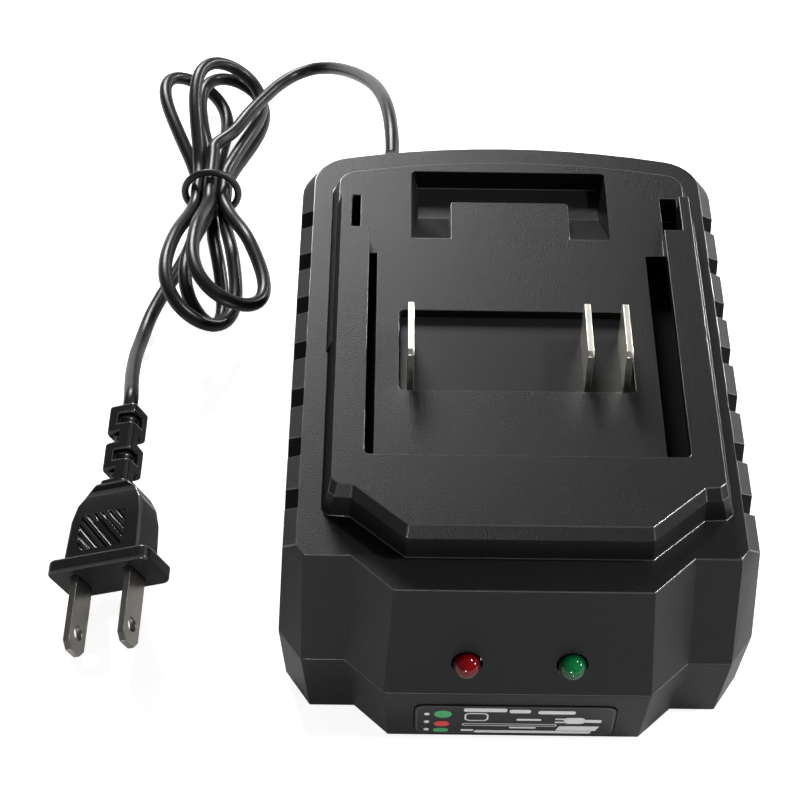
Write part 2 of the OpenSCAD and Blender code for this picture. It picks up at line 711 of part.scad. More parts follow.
// A round wire or cord swept along a list of points that never runs along ref
across = [1, 0, 0];
upright = [0, 0, 1];
function vnorm(v) = v / norm(v);
function tangent(pts, i) = let (n = len(pts)) vnorm(pts[min(i + 1, n - 1)] - pts[max(i - 1, 0)]);
function ring_at(p, t, d, sides, ref) = let (
    u = vnorm(cross(ref, t)),
    w = cross(t, u)
  ) [for (k = [0:sides - 1]) p + (u * cos(360 * k / sides) + w * sin(360 * k / sides)) * d / 2];
module tube(pts, d, sides, ref) {
  n = len(pts);
  last = (n - 1) * sides;
  rings = [for (i = [0:n - 1]) each ring_at(pts[i], tangent(pts, i), d, sides, ref)];
  skin = [for (i = [0:n - 2]) for (k = [0:sides - 1]) let (a = i * sides + k, b = i * sides + (k + 1) % sides)
    each [[a, a + sides, b + sides], [a, b + sides, b]]];
  ends = [[for (k = [0:sides - 1]) k], [for (k = [sides - 1:-1:0]) last + k]];
  polyhedron(rings, concat(skin, ends));
}
// Points on a smooth curve that leaves a towards b and arrives at d from c
curve_n = 9;
function curve(a, b, c, d) = [for (i = [0:curve_n]) let (t = i / curve_n, u = 1 - t)
  a * u * u * u + b * 3 * u * u * t + c * 3 * u * t * t + d * t * t * t];

// Wires inside the housing. Each starts along its lead and comes down on its pad;
// a bend is how far it keeps on at its start and how far it comes down straight
down = [0, 0, -1];
output_wire_d = 1.6;
output_pads = [-8, -34];
output_pad_pitch = 5;
output_bend = [9, 12];
mains_wire_d = 1.4;
mains_wire_gap = 0.1;
mains_pads = [13 - board_w / 2, 36.5];
mains_pad_pitch = 10;
mains_bend = [9, 12];
led_wire_d = 1.2;
led_pads = [12, -36.5];
led_pad_pitch = 3;
led_wire_pitch = 4;
led_wire_low = 3;
led_bend = [5, 9];
module output_wires() color([0.75, 0.12, 0.1]) for (i = [0:2]) {
  from = [blade_xs[i], blade_front + (tail_at[0] + tail_at[1]) / 2, tail_z];
  to = [output_pads[0] + i * output_pad_pitch, output_pads[1], board_top];
  tube(curve(from, from + output_bend[0] * down, to - output_bend[1] * down, to), output_wire_d, 8, across);
}
module mains_wires() color([0.2, 0.2, 0.22]) for (s = [-1, 1]) {
  from = [exit_x + s * (mains_wire_d + mains_wire_gap) / 2, jacket_end, exit_z];
  to = [mains_pads[0] + s * mains_pad_pitch / 2, mains_pads[1], board_top];
  tube(curve(from, from - [0, mains_bend[0], 0], to - mains_bend[1] * down, to), mains_wire_d, 8, across);
}
module led_wires() color([0.85, 0.8, 0.2]) for (i = [0:2]) {
  back = [0, cos(front_a), -sin(front_a)];
  from = [(i - 1) * led_wire_pitch, -rim_front - front_lean * (rim_z - led_z) / (rim_z - waist_z), led_z]
    + back * (led_back + board_t) - [0, sin(front_a), cos(front_a)] * led_wire_low;
  to = [led_pads[0] + i * led_pad_pitch, led_pads[1], board_top];
  tube(curve(from, from + led_bend[0] * back, to - led_bend[1] * down, to), led_wire_d, 8, across);
}

// Cord exit: a grommet in the rear wall, and a clamp on the jacket inside
grommet_d = 6.4;
grommet_len = 6;
boot_out = 3;
boot_edge = 0.4;
collar = [1, 1.4];
near_x = abs(exit_x) - grommet_d / 2 - 1;
exit_y = rear_y + rear_out[SHOULDER] - bow_r + sqrt(bow_r * bow_r - near_x * near_x);
cord_start = exit_y + boot_out;
clamp_in = 10.5;
clamp_y = exit_y - clamp_in;
clamp_pitch = 7;
clamp_boss = 2;
boss_d = 5;
clamp_h = 4;
clamp_w = 6;
clamp_top = roof_z - clamp_boss;
clamp_head = [4.2, 1.5];
clamp_bite = 3;
jacket_end = clamp_y - clamp_w / 2 - 1.5;
cord_fit = 0.05;
clamp_at = [for (s = [-1, 1]) [exit_x + s * clamp_pitch, clamp_y, 0]];
bore_len = 4.5;
module clamp_bosses() for (p = clamp_at)
  translate(p + [0, 0, clamp_top]) cylinder(d = boss_d, h = clamp_boss + wall);
module clamp_bores() for (p = clamp_at)
  translate(p + [0, 0, clamp_top - 1]) cylinder(d = small_bore, h = bore_len);
module cord_grommet() color([0.08, 0.08, 0.08]) translate([exit_x, exit_y, exit_z]) rotate([-90, 0, 0])
  difference() {
    union() {
      translate([0, 0, -grommet_len]) cylinder(d = grommet_d, h = grommet_len + boot_edge);
      translate([0, 0, -wall - 1 - collar[1]]) cylinder(d = grommet_d + 2 * collar[0], h = collar[1]);
      translate([0, 0, boot_edge]) cylinder(d1 = grommet_d, d2 = cord_d + 1, h = boot_out - boot_edge);
    }
    translate([0, 0, -grommet_len - 1]) cylinder(d = cord_d + 2 * cord_fit, h = grommet_len + 20);
  }
module cord_jacket() color([0.09, 0.09, 0.1])
  translate([exit_x, jacket_end, exit_z]) rotate([-90, 0, 0])
    cylinder(d = cord_d, h = cord_start - jacket_end);
module cord_clamp() color([0.12, 0.12, 0.13]) difference() {
  translate([exit_x, clamp_y, clamp_top - clamp_h]) linear_extrude(clamp_h)
    rounded(2 * clamp_pitch + clamp_w, clamp_w, 1.5);
  translate([exit_x, clamp_y - 10, exit_z]) rotate([-90, 0, 0]) cylinder(d = cord_d + 2 * cord_fit, h = 20);
  for (p = clamp_at) translate(p + [0, 0, clamp_top - clamp_h - 1])
    cylinder(d = screw2_d + 4 * fit, h = clamp_h + 2);
}
module clamp_screws() color([0.6, 0.6, 0.62])
  for (p = clamp_at) translate(p + [0, 0, clamp_top - clamp_h - clamp_head[1]])
    screw(clamp_head[0], clamp_head[1], screw2_d, clamp_h + clamp_bite);

// Hank, along Y: seven strands packed in the tie, three loops at each end
tie_x = -71.6;
tie_y = 94;
tie_d = 1.8;
tie_gap = 0.3;
half_waist = 5;
end_run = 5;
pack = cord_d + 0.55;
tie_z = tie_d + tie_gap + cord_d / 2 + pack;
// Seats of the strands in the order of the cord: how far from the middle, at which angle
strands = [for (s = [[1, 210], [1, 270], [0, 0], [1, 330], [1, 150], [1, 30], [1, 90]])
  s[0] * pack * [cos(s[1]), sin(s[1])]];
// Loops: [fan angle, length over loop_len, half width, roll, height of the far end]
up_loops = [[-9, 0, 8.7, -30, 6.6], [2.5, 1, 8.8, -28, 5.4], [5, -1, 8.8, -42, 11.4]];
down_loops = [[1.5, 0, 8.5, -57, 9], [0.5, 4, 8.8, -43, 12.4], [9.5, 2, 8.9, -27, 15.8]];
neck_len = 21;
roll_len = 8;
loop_rings = 24;
function smooth(t) = let (u = min(1, max(0, t))) u * u * (3 - 2 * u);
function loop_pt(u, side, loop, s0, s1) = let (
    out = (loop_len + loop[1]) * sin(180 * u),
    m = (1 - cos(180 * u)) / 2,
    seat = s0 * (1 - m) + s1 * m,
    open = -side * loop[2] * sin(360 * u) * pow(sin(180 * u), 0.35),
    t = smooth(out / neck_len),
    roll = loop[3] * smooth(out / roll_len)
  ) [tie_x + seat[0] + open * cos(roll) + out * sin(loop[0]),
     tie_y + side * (half_waist + out * cos(loop[0])),
     tie_z + seat[1] * (1 - t) + (loop[4] - tie_z) * t + open * sin(roll)];
function run(seat, from, to) = [for (i = [0:3])
  [tie_x + seat[0], tie_y + from + (to - from) * i / 3, tie_z + seat[1]]];
hank_path = concat(
  run(strands[0], -half_waist - end_run, half_waist),
  [for (k = [0:loop_n - 1]) let (s = [for (i = [0:2]) strands[2 * k + i]]) each concat(
    [for (i = [1:loop_rings - 1]) loop_pt(i / loop_rings, 1, up_loops[k], s[0], s[1])],
    run(s[1], half_waist, -half_waist),
    [for (i = [1:loop_rings - 1]) loop_pt(i / loop_rings, -1, down_loops[k], s[1], s[2])],
    run(s[2], -half_waist, half_waist + (k == loop_n - 1 ? end_run : 0)))]);
hank_n = len(hank_path);
// Least gap between stretches of the hank that lie apart along it, on the rings and halfway between them
halves = [for (i = [0:hank_n - 2]) each [hank_path[i], (hank_path[i] + hank_path[i + 1]) / 2]];
half_n = len(halves);
steps = [for (i = [0:half_n - 1]) i == 0 ? 0 : norm(halves[i] - halves[i - 1])];
lengths = [for (i = 0, l = 0; i < half_n; i = i + 1, l = l + (i < half_n ? steps[i] : 0)) l];
apart = 4 * cord_d;
hank_gap = min([for (i = [0:half_n - 2]) for (j = [i + 1:half_n - 1])
  if (lengths[j] - lengths[i] > apart) norm(halves[i] - halves[j])]) - cord_d;
echo(hank_gap = hank_gap);
module cord_hank() color([0.09, 0.09, 0.1]) tube(hank_path, cord_d, 6, upright);

// How the plug lies
plug_at = [-84.4, -32.5, 10.1];
plug_roll = -22.5;
plug_pitch = 10;
plug_yaw = -1.5;
relief_end = 42;
function plug_turn(v) = let (
    a = [v[0] * cos(plug_roll) + v[2] * sin(plug_roll), v[1], v[2] * cos(plug_roll) - v[0] * sin(plug_roll)],
    b = [a[0], a[1] * cos(plug_pitch) - a[2] * sin(plug_pitch),
      a[1] * sin(plug_pitch) + a[2] * cos(plug_pitch)]
  ) [b[0] * cos(plug_yaw) - b[1] * sin(plug_yaw), b[0] * sin(plug_yaw) + b[1] * cos(plug_yaw), b[2]];

// Free stretches of the cord, from the housing to the hank and from the hank to the plug
straight = [0, cord_d + 0.2, 0];
hank_in = hank_path[hank_n - 1];
hank_out = hank_path[0];
cord_out = [exit_x, cord_start, exit_z];
lead_path = [cord_out, cord_out + straight, [-26.1, 76, 40.9], [-26.4, 81, 40.3], [-26.9, 87, 39.1],
  [-27.7, 93.5, 37.2], [-28.8, 100.5, 34.4], [-30.2, 107.5, 31.2], [-32, 114.5, 27.6], [-34.2, 121.3, 23.8],
  [-36.8, 128, 19.9], [-39.8, 134, 16.2], [-43.4, 138.7, 13], [-47.6, 141, 10.8], [-52, 139.8, 9.8],
  [-56, 135.6, 9.9], [-59.8, 128.8, 10.7], [-63.4, 121.2, 11.5], [-67, 113.6, 11.5],
  hank_in + straight, hank_in];
tail_path = [hank_out, hank_out - straight, [-76.4, 75.5, 4], [-79.2, 68.5, 2.5], [-81.8, 62, 1.9],
  [-83.8, 55.4, 1.75], [-84.8, 49, 2.4], [-85.2, 43, 4.2], [-85.3, 37, 6.8], [-85, 31, 9.8],
  [-84.6, 25, 12.6], [-84, 19, 15.4],
  plug_at + plug_turn([0, relief_end + straight[1], 0]), plug_at + plug_turn([0, relief_end, 0])];
module cord_lead() color([0.09, 0.09, 0.1]) tube(lead_path, cord_d, 8, upright);
module cord_tail() color([0.09, 0.09, 0.1]) tube(tail_path, cord_d, 8, upright);

// Round band that holds the strands together
tie_ring = pack + cord_d / 2 + tie_gap + tie_d / 2;
module cord_tie() color([0.07, 0.07, 0.07])
  translate([tie_x, tie_y, tie_z]) rotate([90, 0, 0])
    rotate_extrude() translate([tie_ring, 0]) circle(d = tie_d, $fn = 24);

// Plug: it lies on the lower corner of its flange and on one blade
module plug_frame()
  translate(plug_at) rotate([0, 0, plug_yaw]) rotate([plug_pitch, 0, 0]) rotate([0, plug_roll, 0]) children();
pin_root = 4;
pin_hole_d = 3.1;
flange_d = 3.4;
body_hw = 9;
body_hh = 4.4;
neck_hw = 3.3;
pin_tip = [1.6, 1.4];
module plug_blades() color([0.8, 0.8, 0.82]) plug_frame()
  for (s = [-1, 1]) translate([s * pin_pitch / 2 - pin_t / 2, 0, 0]) rotate([90, 0, 90]) linear_extrude(pin_t)
    difference() {
      polygon([[pin_root, -pin_w / 2], [pin_root, pin_w / 2], [pin_tip[0] - pin_len, pin_w / 2],
        [-pin_len, pin_w / 2 - pin_tip[1]], [-pin_len, pin_tip[1] - pin_w / 2],
        [pin_tip[0] - pin_len, -pin_w / 2]]);
      translate([pin_root + 0.6 - pin_len, 0]) circle(d = pin_hole_d);
    }
// Half outline of the body, from the flange to the relief: share of the half width, and distance
shoulders = [[1, flange_d - 0.4], [0.95, 13], [0.86, 17], [0.7, 19.6]];
relief_start = 22;
module plug_side(hw) {
  right = concat([for (p = shoulders) [hw * p[0], p[1]]],
    [[neck_hw + 0.6, relief_start - 0.6], [neck_hw, relief_start]]);
  polygon(concat(right, [for (i = [len(right) - 1:-1:0]) [-right[i][0], right[i][1]]]));
}
grip_at = [-0.6, 9.8];
grip_w = 11;
grip_l = 9;
grip_deep = 0.7;
grip_ribs = 6;
grip_pitch = 1.8;
module plug_body() color([0.1, 0.1, 0.11]) plug_frame() difference() {
  union() {
    rotate([-90, 0, 0]) linear_extrude(flange_d) rounded(flange_w, flange_t, 2);
    intersection() {
      translate([0, 0, -10]) linear_extrude(20) plug_side(body_hw);
      rotate([0, 90, 0]) translate([0, 0, -15]) linear_extrude(30) plug_side(body_hh);
    }
    relief();
  }
  // Sockets of the blades, and the grip panels on both broad faces
  for (s = [-1, 1]) translate([s * pin_pitch / 2, 0, 0])
    box(-pin_t / 2, pin_t / 2, -1, pin_root, -pin_w / 2, pin_w / 2);
  for (s = [0, 1]) mirror([0, 0, s]) difference() {
    translate([grip_at[0], grip_at[1], body_hh - grip_deep]) linear_extrude(1) rounded(grip_w, grip_l, 1);
    for (i = [-grip_ribs:grip_ribs]) translate([i * grip_pitch, grip_at[1], body_hh - 1]) rotate([0, 0, 40])
      cube([0.8, 30, 1.6], center = true);
  }
}
// Strain relief: a square sleeve that slots open in turn from one corner and from the other three
relief_n = 2;
relief_step = 9.4;
relief_slot = 2.4;
core_d = 4.4;
module relief() difference() {
  translate([0, relief_end, 0]) rotate([90, 0, 0]) linear_extrude(relief_end - relief_start + 1)
    rounded(2 * neck_hw, 2 * neck_hw, 1);
  for (i = [0:relief_n - 1]) translate([0, relief_start + 2.2 + i * relief_step, 0]) {
    relief_cut([-5, 5, -5, 0.2]);
    relief_cut([-5, 0.2, -5, 5]);
    translate([0, relief_step / 2, 0]) relief_cut([-0.8, 5, -0.8, 5]);
  }
}
module relief_cut(b) difference() {
  box(b[0], b[1], -relief_slot / 2, relief_slot / 2, b[2], b[3]);
  translate([0, -2, 0]) rotate([-90, 0, 0]) cylinder(d = core_d, h = 4);
}

upper_case();
lower_case();
front_label();
rating_plate();
rubber_feet();
case_screws();
terminal_block();
blade_positive();
blade_sense();
blade_negative();
led_red();
led_green();
led_board();
main_board();
board_screws();
transformer_core();
transformer_winding();
bulk_capacitor();
output_capacitors();
input_choke();
x_capacitor();
y_capacitor();
bridge_rectifier();
fuse();
heat_sink();
power_transistor();
controller_chip();
optocoupler();
output_wires();
mains_wires();
led_wires();
cord_grommet();
cord_jacket();
cord_clamp();
clamp_screws();
cord_lead();
cord_hank();
cord_tie();
cord_tail();
plug_body();
plug_blades();
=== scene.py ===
import json
import math
import bmesh
import bpy
import numpy as np
from mathutils import Matrix, Vector

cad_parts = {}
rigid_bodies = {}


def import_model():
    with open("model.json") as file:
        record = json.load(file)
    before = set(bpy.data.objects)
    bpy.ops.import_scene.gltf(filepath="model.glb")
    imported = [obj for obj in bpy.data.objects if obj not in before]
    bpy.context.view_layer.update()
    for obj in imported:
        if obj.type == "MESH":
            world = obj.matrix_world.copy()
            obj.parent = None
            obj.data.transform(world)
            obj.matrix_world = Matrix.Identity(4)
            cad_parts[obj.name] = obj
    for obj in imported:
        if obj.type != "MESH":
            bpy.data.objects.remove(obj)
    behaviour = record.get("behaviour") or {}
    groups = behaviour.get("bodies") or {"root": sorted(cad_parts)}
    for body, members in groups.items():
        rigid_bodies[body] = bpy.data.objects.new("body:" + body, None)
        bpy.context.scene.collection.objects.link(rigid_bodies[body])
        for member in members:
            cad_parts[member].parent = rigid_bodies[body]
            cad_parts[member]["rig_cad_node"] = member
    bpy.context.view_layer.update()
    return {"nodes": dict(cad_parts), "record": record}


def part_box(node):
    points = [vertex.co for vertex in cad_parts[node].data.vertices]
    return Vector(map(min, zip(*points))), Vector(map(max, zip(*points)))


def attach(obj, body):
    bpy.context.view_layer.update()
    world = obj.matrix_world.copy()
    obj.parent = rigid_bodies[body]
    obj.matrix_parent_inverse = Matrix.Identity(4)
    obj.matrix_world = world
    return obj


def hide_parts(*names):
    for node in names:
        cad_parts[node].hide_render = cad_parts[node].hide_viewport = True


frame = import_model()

nodes = frame["nodes"]

# Camera
# A long lens a hand's breadth above the table, looking down on the front of the charger.
# Its place and turn were fitted to the housing's edges, for a picture of 800 by 800 pixels.
CAMERA_AT = Vector((-0.025206, -0.303930, 0.352399))
CAMERA_YAW = math.radians(0.301)
CAMERA_DOWN = math.radians(46.555)
CAMERA_ROLL = math.radians(0.939)
FOCAL_PX = 2071.977
PICTURE_PX = 800
SENSOR_MM = 36.0

ahead = Vector((math.sin(CAMERA_YAW) * math.cos(CAMERA_DOWN),
                math.cos(CAMERA_YAW) * math.cos(CAMERA_DOWN), -math.sin(CAMERA_DOWN)))
level = Vector((math.cos(CAMERA_YAW), -math.sin(CAMERA_YAW), 0))
over = level.cross(ahead)
right = level * math.cos(CAMERA_ROLL) + over * math.sin(CAMERA_ROLL)
up = over * math.cos(CAMERA_ROLL) - level * math.sin(CAMERA_ROLL)
lens = bpy.data.cameras.new("camera")
lens.sensor_width = SENSOR_MM
lens.lens = SENSOR_MM * FOCAL_PX / PICTURE_PX
lens.clip_start = 0.01
camera = bpy.data.objects.new("camera", lens)
turn = Matrix((right, up, -ahead)).transposed()
camera.matrix_world = Matrix.Translation(CAMERA_AT) @ turn.to_4x4()
bpy.context.scene.collection.objects.link(camera)
bpy.context.scene.camera = camera

# Cord
# Round black PVC sheath over two cores, put away as a hank of seven strands held by a band.
# One unbroken length runs from the grommet through the hank's loops to the plug's relief.
CORD_D = 0.0033
CORD_SIDES = 20
CORD_STEP = 0.0011
TIE_AT = Vector((-0.0716, 0.094, 0.0076))
TIE_D = 0.0018
TIE_GAP = 0.0003
HALF_WAIST = 0.005
END_RUN = 0.005
PACK = CORD_D + 0.00055
LOOP_LEN = 0.042
NECK_LEN = 0.021
ROLL_LEN = 0.008
LOOP_STEPS = 48
STRANDS = [(1, 210), (1, 270), (0, 0), (1, 330), (1, 150), (1, 30), (1, 90)]
# Loops: fan angle, length over LOOP_LEN, half width, roll, height of the far end
UP_LOOPS = [(-9, 0, 0.0087, -30, 0.0066), (2.5, 0.001, 0.0088, -28, 0.0054), (5, -0.001, 0.0088, -42, 0.0114)]
DOWN_LOOPS = [(1.5, 0, 0.0085, -57, 0.009), (0.5, 0.004, 0.0088, -43, 0.0124), (9.5, 0.002, 0.0089, -27, 0.0158)]
PLUG_AT = Vector((-0.0844, -0.0325, 0.0101))
PLUG_ROLL = math.radians(-22.5)
PLUG_PITCH = math.radians(10)
PLUG_YAW = math.radians(-1.5)
RELIEF_END = 0.042
STRAIGHT = Vector((0, CORD_D + 0.0002, 0))


def smooth(t):
    t = min(1.0, max(0.0, t))
    return t * t * (3 - 2 * t)


def strand(k):
    share, angle = STRANDS[k]
    return Vector((share * PACK * math.cos(math.radians(angle)), 0, share * PACK * math.sin(math.radians(angle))))


def loop_point(t, side, loop, first, last):
    fan, extra, width, roll, far_z = loop
    out = (LOOP_LEN + extra) * math.sin(math.pi * t)
    seat = first.lerp(last, (1 - math.cos(math.pi * t)) / 2)
    opened = -side * width * math.sin(2 * math.pi * t) * math.sin(math.pi * t) ** 0.35
    rise = smooth(out / NECK_LEN)
    tilt = math.radians(roll) * smooth(out / ROLL_LEN)
    fan = math.radians(fan)
    return Vector((TIE_AT.x + seat.x + opened * math.cos(tilt) + out * math.sin(fan),
                   TIE_AT.y + side * (HALF_WAIST + out * math.cos(fan)),
                   TIE_AT.z + seat.z * (1 - rise) + (far_z - TIE_AT.z) * rise + opened * math.sin(tilt)))


def waist_run(k, start, end):
    return [TIE_AT + strand(k) + Vector((0, start + (end - start) * i / 3, 0)) for i in range(4)]


def plug_turn(v):
    return (Matrix.Rotation(PLUG_YAW, 3, "Z") @ Matrix.Rotation(PLUG_PITCH, 3, "X")
            @ Matrix.Rotation(PLUG_ROLL, 3, "Y") @ Vector(v))


hank = waist_run(0, -HALF_WAIST - END_RUN, HALF_WAIST)
for k, (upper, lower) in enumerate(zip(UP_LOOPS, DOWN_LOOPS)):
    a, b, c = strand(2 * k), strand(2 * k + 1), strand(2 * k + 2)
    hank += [loop_point(i / LOOP_STEPS, 1, upper, a, b) for i in range(1, LOOP_STEPS)]
    hank += waist_run(2 * k + 1, HALF_WAIST, -HALF_WAIST)
    hank += [loop_point(i / LOOP_STEPS, -1, lower, b, c) for i in range(1, LOOP_STEPS)]
    hank += waist_run(2 * k + 2, -HALF_WAIST, HALF_WAIST + (END_RUN if k == 2 else 0))

cord_exit = Vector((-0.026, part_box("cord_jacket")[1].y, 0.041))
lead_route = [cord_exit, cord_exit + STRAIGHT] + [Vector(p) for p in (
    (-0.0261, 0.076, 0.0409), (-0.0264, 0.081, 0.0403), (-0.0269, 0.087, 0.0391), (-0.0277, 0.0935, 0.0372),
    (-0.0288, 0.1005, 0.0344), (-0.0302, 0.1075, 0.0312), (-0.032, 0.1145, 0.0276), (-0.0342, 0.1213, 0.0238),
    (-0.0368, 0.128, 0.0199), (-0.0398, 0.134, 0.0162), (-0.0434, 0.1387, 0.013), (-0.0476, 0.141, 0.0108),
    (-0.052, 0.1398, 0.0098), (-0.056, 0.1356, 0.0099), (-0.0598, 0.1288, 0.0107), (-0.0634, 0.1212, 0.0115),
    (-0.067, 0.1136, 0.0115))] + [hank[-1] + STRAIGHT]
tail_route = [hank[0] - STRAIGHT] + [Vector(p) for p in (
    (-0.0764, 0.0755, 0.004), (-0.0792, 0.0685, 0.0025), (-0.0818, 0.062, 0.0019), (-0.0838, 0.0554, 0.00175),
    (-0.0848, 0.049, 0.0024), (-0.0852, 0.043, 0.0042), (-0.0853, 0.037, 0.0068), (-0.085, 0.031, 0.0098),
    (-0.0846, 0.025, 0.0126), (-0.084, 0.019, 0.0154))] + [
    PLUG_AT + plug_turn((0, RELIEF_END + STRAIGHT.y, 0)), PLUG_AT + plug_turn((0, RELIEF_END, 0))]


def smooth_line(points, step):
    """Points a step apart on a smooth curve through the given points"""
    points = [p for i, p in enumerate(points) if i == 0 or (p - points[i - 1]).length > 1e-6]
    line = []
    for i in range(len(points) - 1):
        p0, p1, p2, p3 = (points[max(i - 1, 0)], points[i], points[i + 1], points[min(i + 2, len(points) - 1)])
        t0, t1, t2 = ((b - a).length ** 0.5 or 1e-4 for a, b in ((p0, p1), (p1, p2), (p2, p3)))
        m1 = (p2 - p1) / t1 - (p2 - p0) / (t0 + t1) + (p1 - p0) / t0 if i else (p2 - p1) / t1
        m2 = (p3 - p2) / t2 - (p3 - p1) / (t1 + t2) + (p2 - p1) / t1 if i < len(points) - 2 else (p2 - p1) / t1
        n = max(1, round((p2 - p1).length / step))
        for j in range(n):
            t = j / n
            line.append(p1 * (2 * t ** 3 - 3 * t * t + 1) + m1 * t1 * (t ** 3 - 2 * t * t + t)
                        + p2 * (3 * t * t - 2 * t ** 3) + m2 * t1 * (t ** 3 - t * t))
    return line + [points[-1]]


def tube(name, line, radius, sides):
    """Closed round tube along a line, with a UV map of turn and length"""
    rings, faces = [], []
    ahead_of = [(line[min(i + 1, len(line) - 1)] - line[max(i - 1, 0)]).normalized() for i in range(len(line))]
    side = ahead_of[0].orthogonal().normalized()
    for point, way in zip(line, ahead_of):
        side = (side - way * side.dot(way)).normalized()
        third = way.cross(side)
        angles = [2 * math.pi * k / sides for k in range(sides)]
        rings += [point + (side * math.cos(angle) + third * math.sin(angle)) * radius for angle in angles]
    for i in range(len(line) - 1):
        for k in range(sides):
            a, b = i * sides + k, i * sides + (k + 1) % sides
            faces.append((a, b, b + sides, a + sides))
    faces.append(tuple(range(sides - 1, -1, -1)))
    faces.append(tuple(range(len(rings) - sides, len(rings))))
    mesh = bpy.data.meshes.new(name)
    mesh.from_pydata([tuple(p) for p in rings], [], faces)
    turns = mesh.uv_layers.new(name="turns")
    along = np.cumsum([0] + [(b - a).length for a, b in zip(line, line[1:])])
    for face in mesh.polygons[:-2]:
        k = face.index % sides
        for loop, (dk, di) in zip(face.loop_indices, ((0, 0), (1, 0), (1, 1), (0, 1))):
            turns.data[loop].uv = ((k + dk) / sides, along[face.index // sides + di])
    for face in mesh.polygons:
        face.use_smooth = face.index < len(mesh.polygons) - 2
    thing = bpy.data.objects.new(name, mesh)
    bpy.context.scene.collection.objects.link(thing)
    return thing


cord_line = smooth_line(lead_route + hank[::-1] + tail_route, CORD_STEP)
cord_length = sum((b - a).length for a, b in zip(cord_line, cord_line[1:]))
cord = tube("cord", cord_line, CORD_D / 2, CORD_SIDES)


class Value:
    """A socket of a material under construction; sums of values add Math nodes"""

    def __init__(self, finish, socket):
        self.finish = finish
        self.socket = socket

    def _maths(self, operation, a, b):
        return self.finish.add("ShaderNodeMath", {"operation": operation}, {0: a, 1: b})

    def __add__(self, other): return self._maths("ADD", self, other)
    def __radd__(self, other): return self._maths("ADD", other, self)
    def __sub__(self, other): return self._maths("SUBTRACT", self, other)
    def __rsub__(self, other): return self._maths("SUBTRACT", other, self)
    def __mul__(self, other): return self._maths("MULTIPLY", self, other)
    def __rmul__(self, other): return self._maths("MULTIPLY", other, self)
    def __truediv__(self, other): return self._maths("DIVIDE", self, other)
    def __rtruediv__(self, other): return self._maths("DIVIDE", other, self)


class Finish:
    """A material with one Principled shader; constants stay on the shader's own sockets"""

    def __init__(self, name, **constants):
        self.material = bpy.data.materials.new(name)
        self.material.use_nodes = True
        self.tree = self.material.node_tree
        self.tree.nodes.clear()
        self.output = self.tree.nodes.new("ShaderNodeOutputMaterial")
        self.shader = self.tree.nodes.new("ShaderNodeBsdfPrincipled")
        self.tree.links.new(self.shader.outputs[0], self.output.inputs["Surface"])
        for key, value in constants.items():
            self.set(key.replace("_", " ").title().replace("Ior", "IOR"), value)
        if len(self.shader.inputs["Base Color"].default_value) == 4:
            self.material.diffuse_color = self.shader.inputs["Base Color"].default_value

    def put(self, socket, value):
        if isinstance(value, Value):
            self.tree.links.new(value.socket, socket)
        elif hasattr(value, "__len__") and len(value) == 3 and len(getattr(socket, "default_value", ())) == 4:
            socket.default_value = (*value, 1)
        else:
            socket.default_value = value

    def set(self, name, value):
        self.put(self.shader.inputs[name], value)

    def add(self, kind, settings=None, sockets=None, out=0):
        node = self.tree.nodes.new(kind)
        for key, value in (settings or {}).items():
            if key == "stops":
                while len(node.color_ramp.elements) < len(value):
                    node.color_ramp.elements.new(1)
                for element, (place, colour) in zip(node.color_ramp.elements, value):
                    element.position = place
                    element.color = (*colour, 1) if hasattr(colour, "__len__") else (colour, colour, colour, 1)
            else:
                setattr(node, key, value)
        for key, value in (sockets or {}).items():
            self.put(node.inputs[key], value)
        return Value(self, node.outputs[out])

    def place(self, scale=(1, 1, 1), turned=(0, 0, 0), uv=None):
        """Object coordinates, or those of a UV map, stretched and turned"""
        if uv:
            where = self.add("ShaderNodeUVMap", {"uv_map": uv})
        else:
            where = self.add("ShaderNodeTexCoord", out="Object")
        return self.add("ShaderNodeMapping", {}, {"Vector": where, "Scale": scale, "Rotation": turned})

    def noise(self, scale, where=None, detail=2.0, rough=0.5):
        return self.add("ShaderNodeTexNoise", {}, {"Vector": where or self.place(), "Scale": scale,
                                                   "Detail": detail, "Roughness": rough}, out="Fac")

    def blend(self, share, first, second):
        return self.add("ShaderNodeMix", {"data_type": "RGBA"}, {0: share, 6: first, 7: second}, out=2)

    def ramp(self, value, stops, out="Color"):
        return self.add("ShaderNodeValToRGB", {"stops": stops}, {"Fac": value}, out=out)

    def bump(self, height, distance, strength=1.0):
        sockets = {"Height": height, "Distance": distance, "Strength": strength}
        self.set("Normal", self.add("ShaderNodeBump", {}, sockets))


def dress(thing, finish, body="root"):
    """Gives a piece its material and slot, and lets it ride on its body"""
    thing.data.materials.clear()
    thing.data.materials.append(finish.material)
    if "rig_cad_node" not in thing:
        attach(thing, body)


cord_sheath = Finish("cord_sheath", base_color=(0.0105, 0.0105, 0.011), roughness=0.3, specular_ior_level=0.35)
waves = cord_sheath.noise(1, cord_sheath.place((3, 260, 1), uv="turns"), detail=3)
scuffs = cord_sheath.noise(700, detail=4, rough=0.6)
cord_sheath.set("Roughness", 0.24 + waves * 0.1 + scuffs * 0.08)
cord_sheath.set("Base Color", cord_sheath.blend(scuffs, (0.009, 0.009, 0.0095), (0.014, 0.014, 0.0145)))
cord_sheath.bump(waves * 0.7 + scuffs * 0.3, 0.00006, 0.6)
dress(cord, cord_sheath)
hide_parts("cord_lead", "cord_hank", "cord_tail")

# Shells of the housing
# Upper and lower half are injection moulded in black ABS with a fine spark-eroded grain.
# Their edges are eased by the mould; those that face up are glossier and painted brighter as a highlight, and channels
# and grooves are dull and painted darker as shade.
MM = 0.001
EASE = 0.18 * MM
EASE_STEPS = 2
SHARP = math.radians(12.5)
FLAT = math.radians(0.1)
# Vertices nearer than this are one
WELD = 0.002 * MM
# Cosine between a face and a neighbour that it is folded over
FOLDED = -0.99
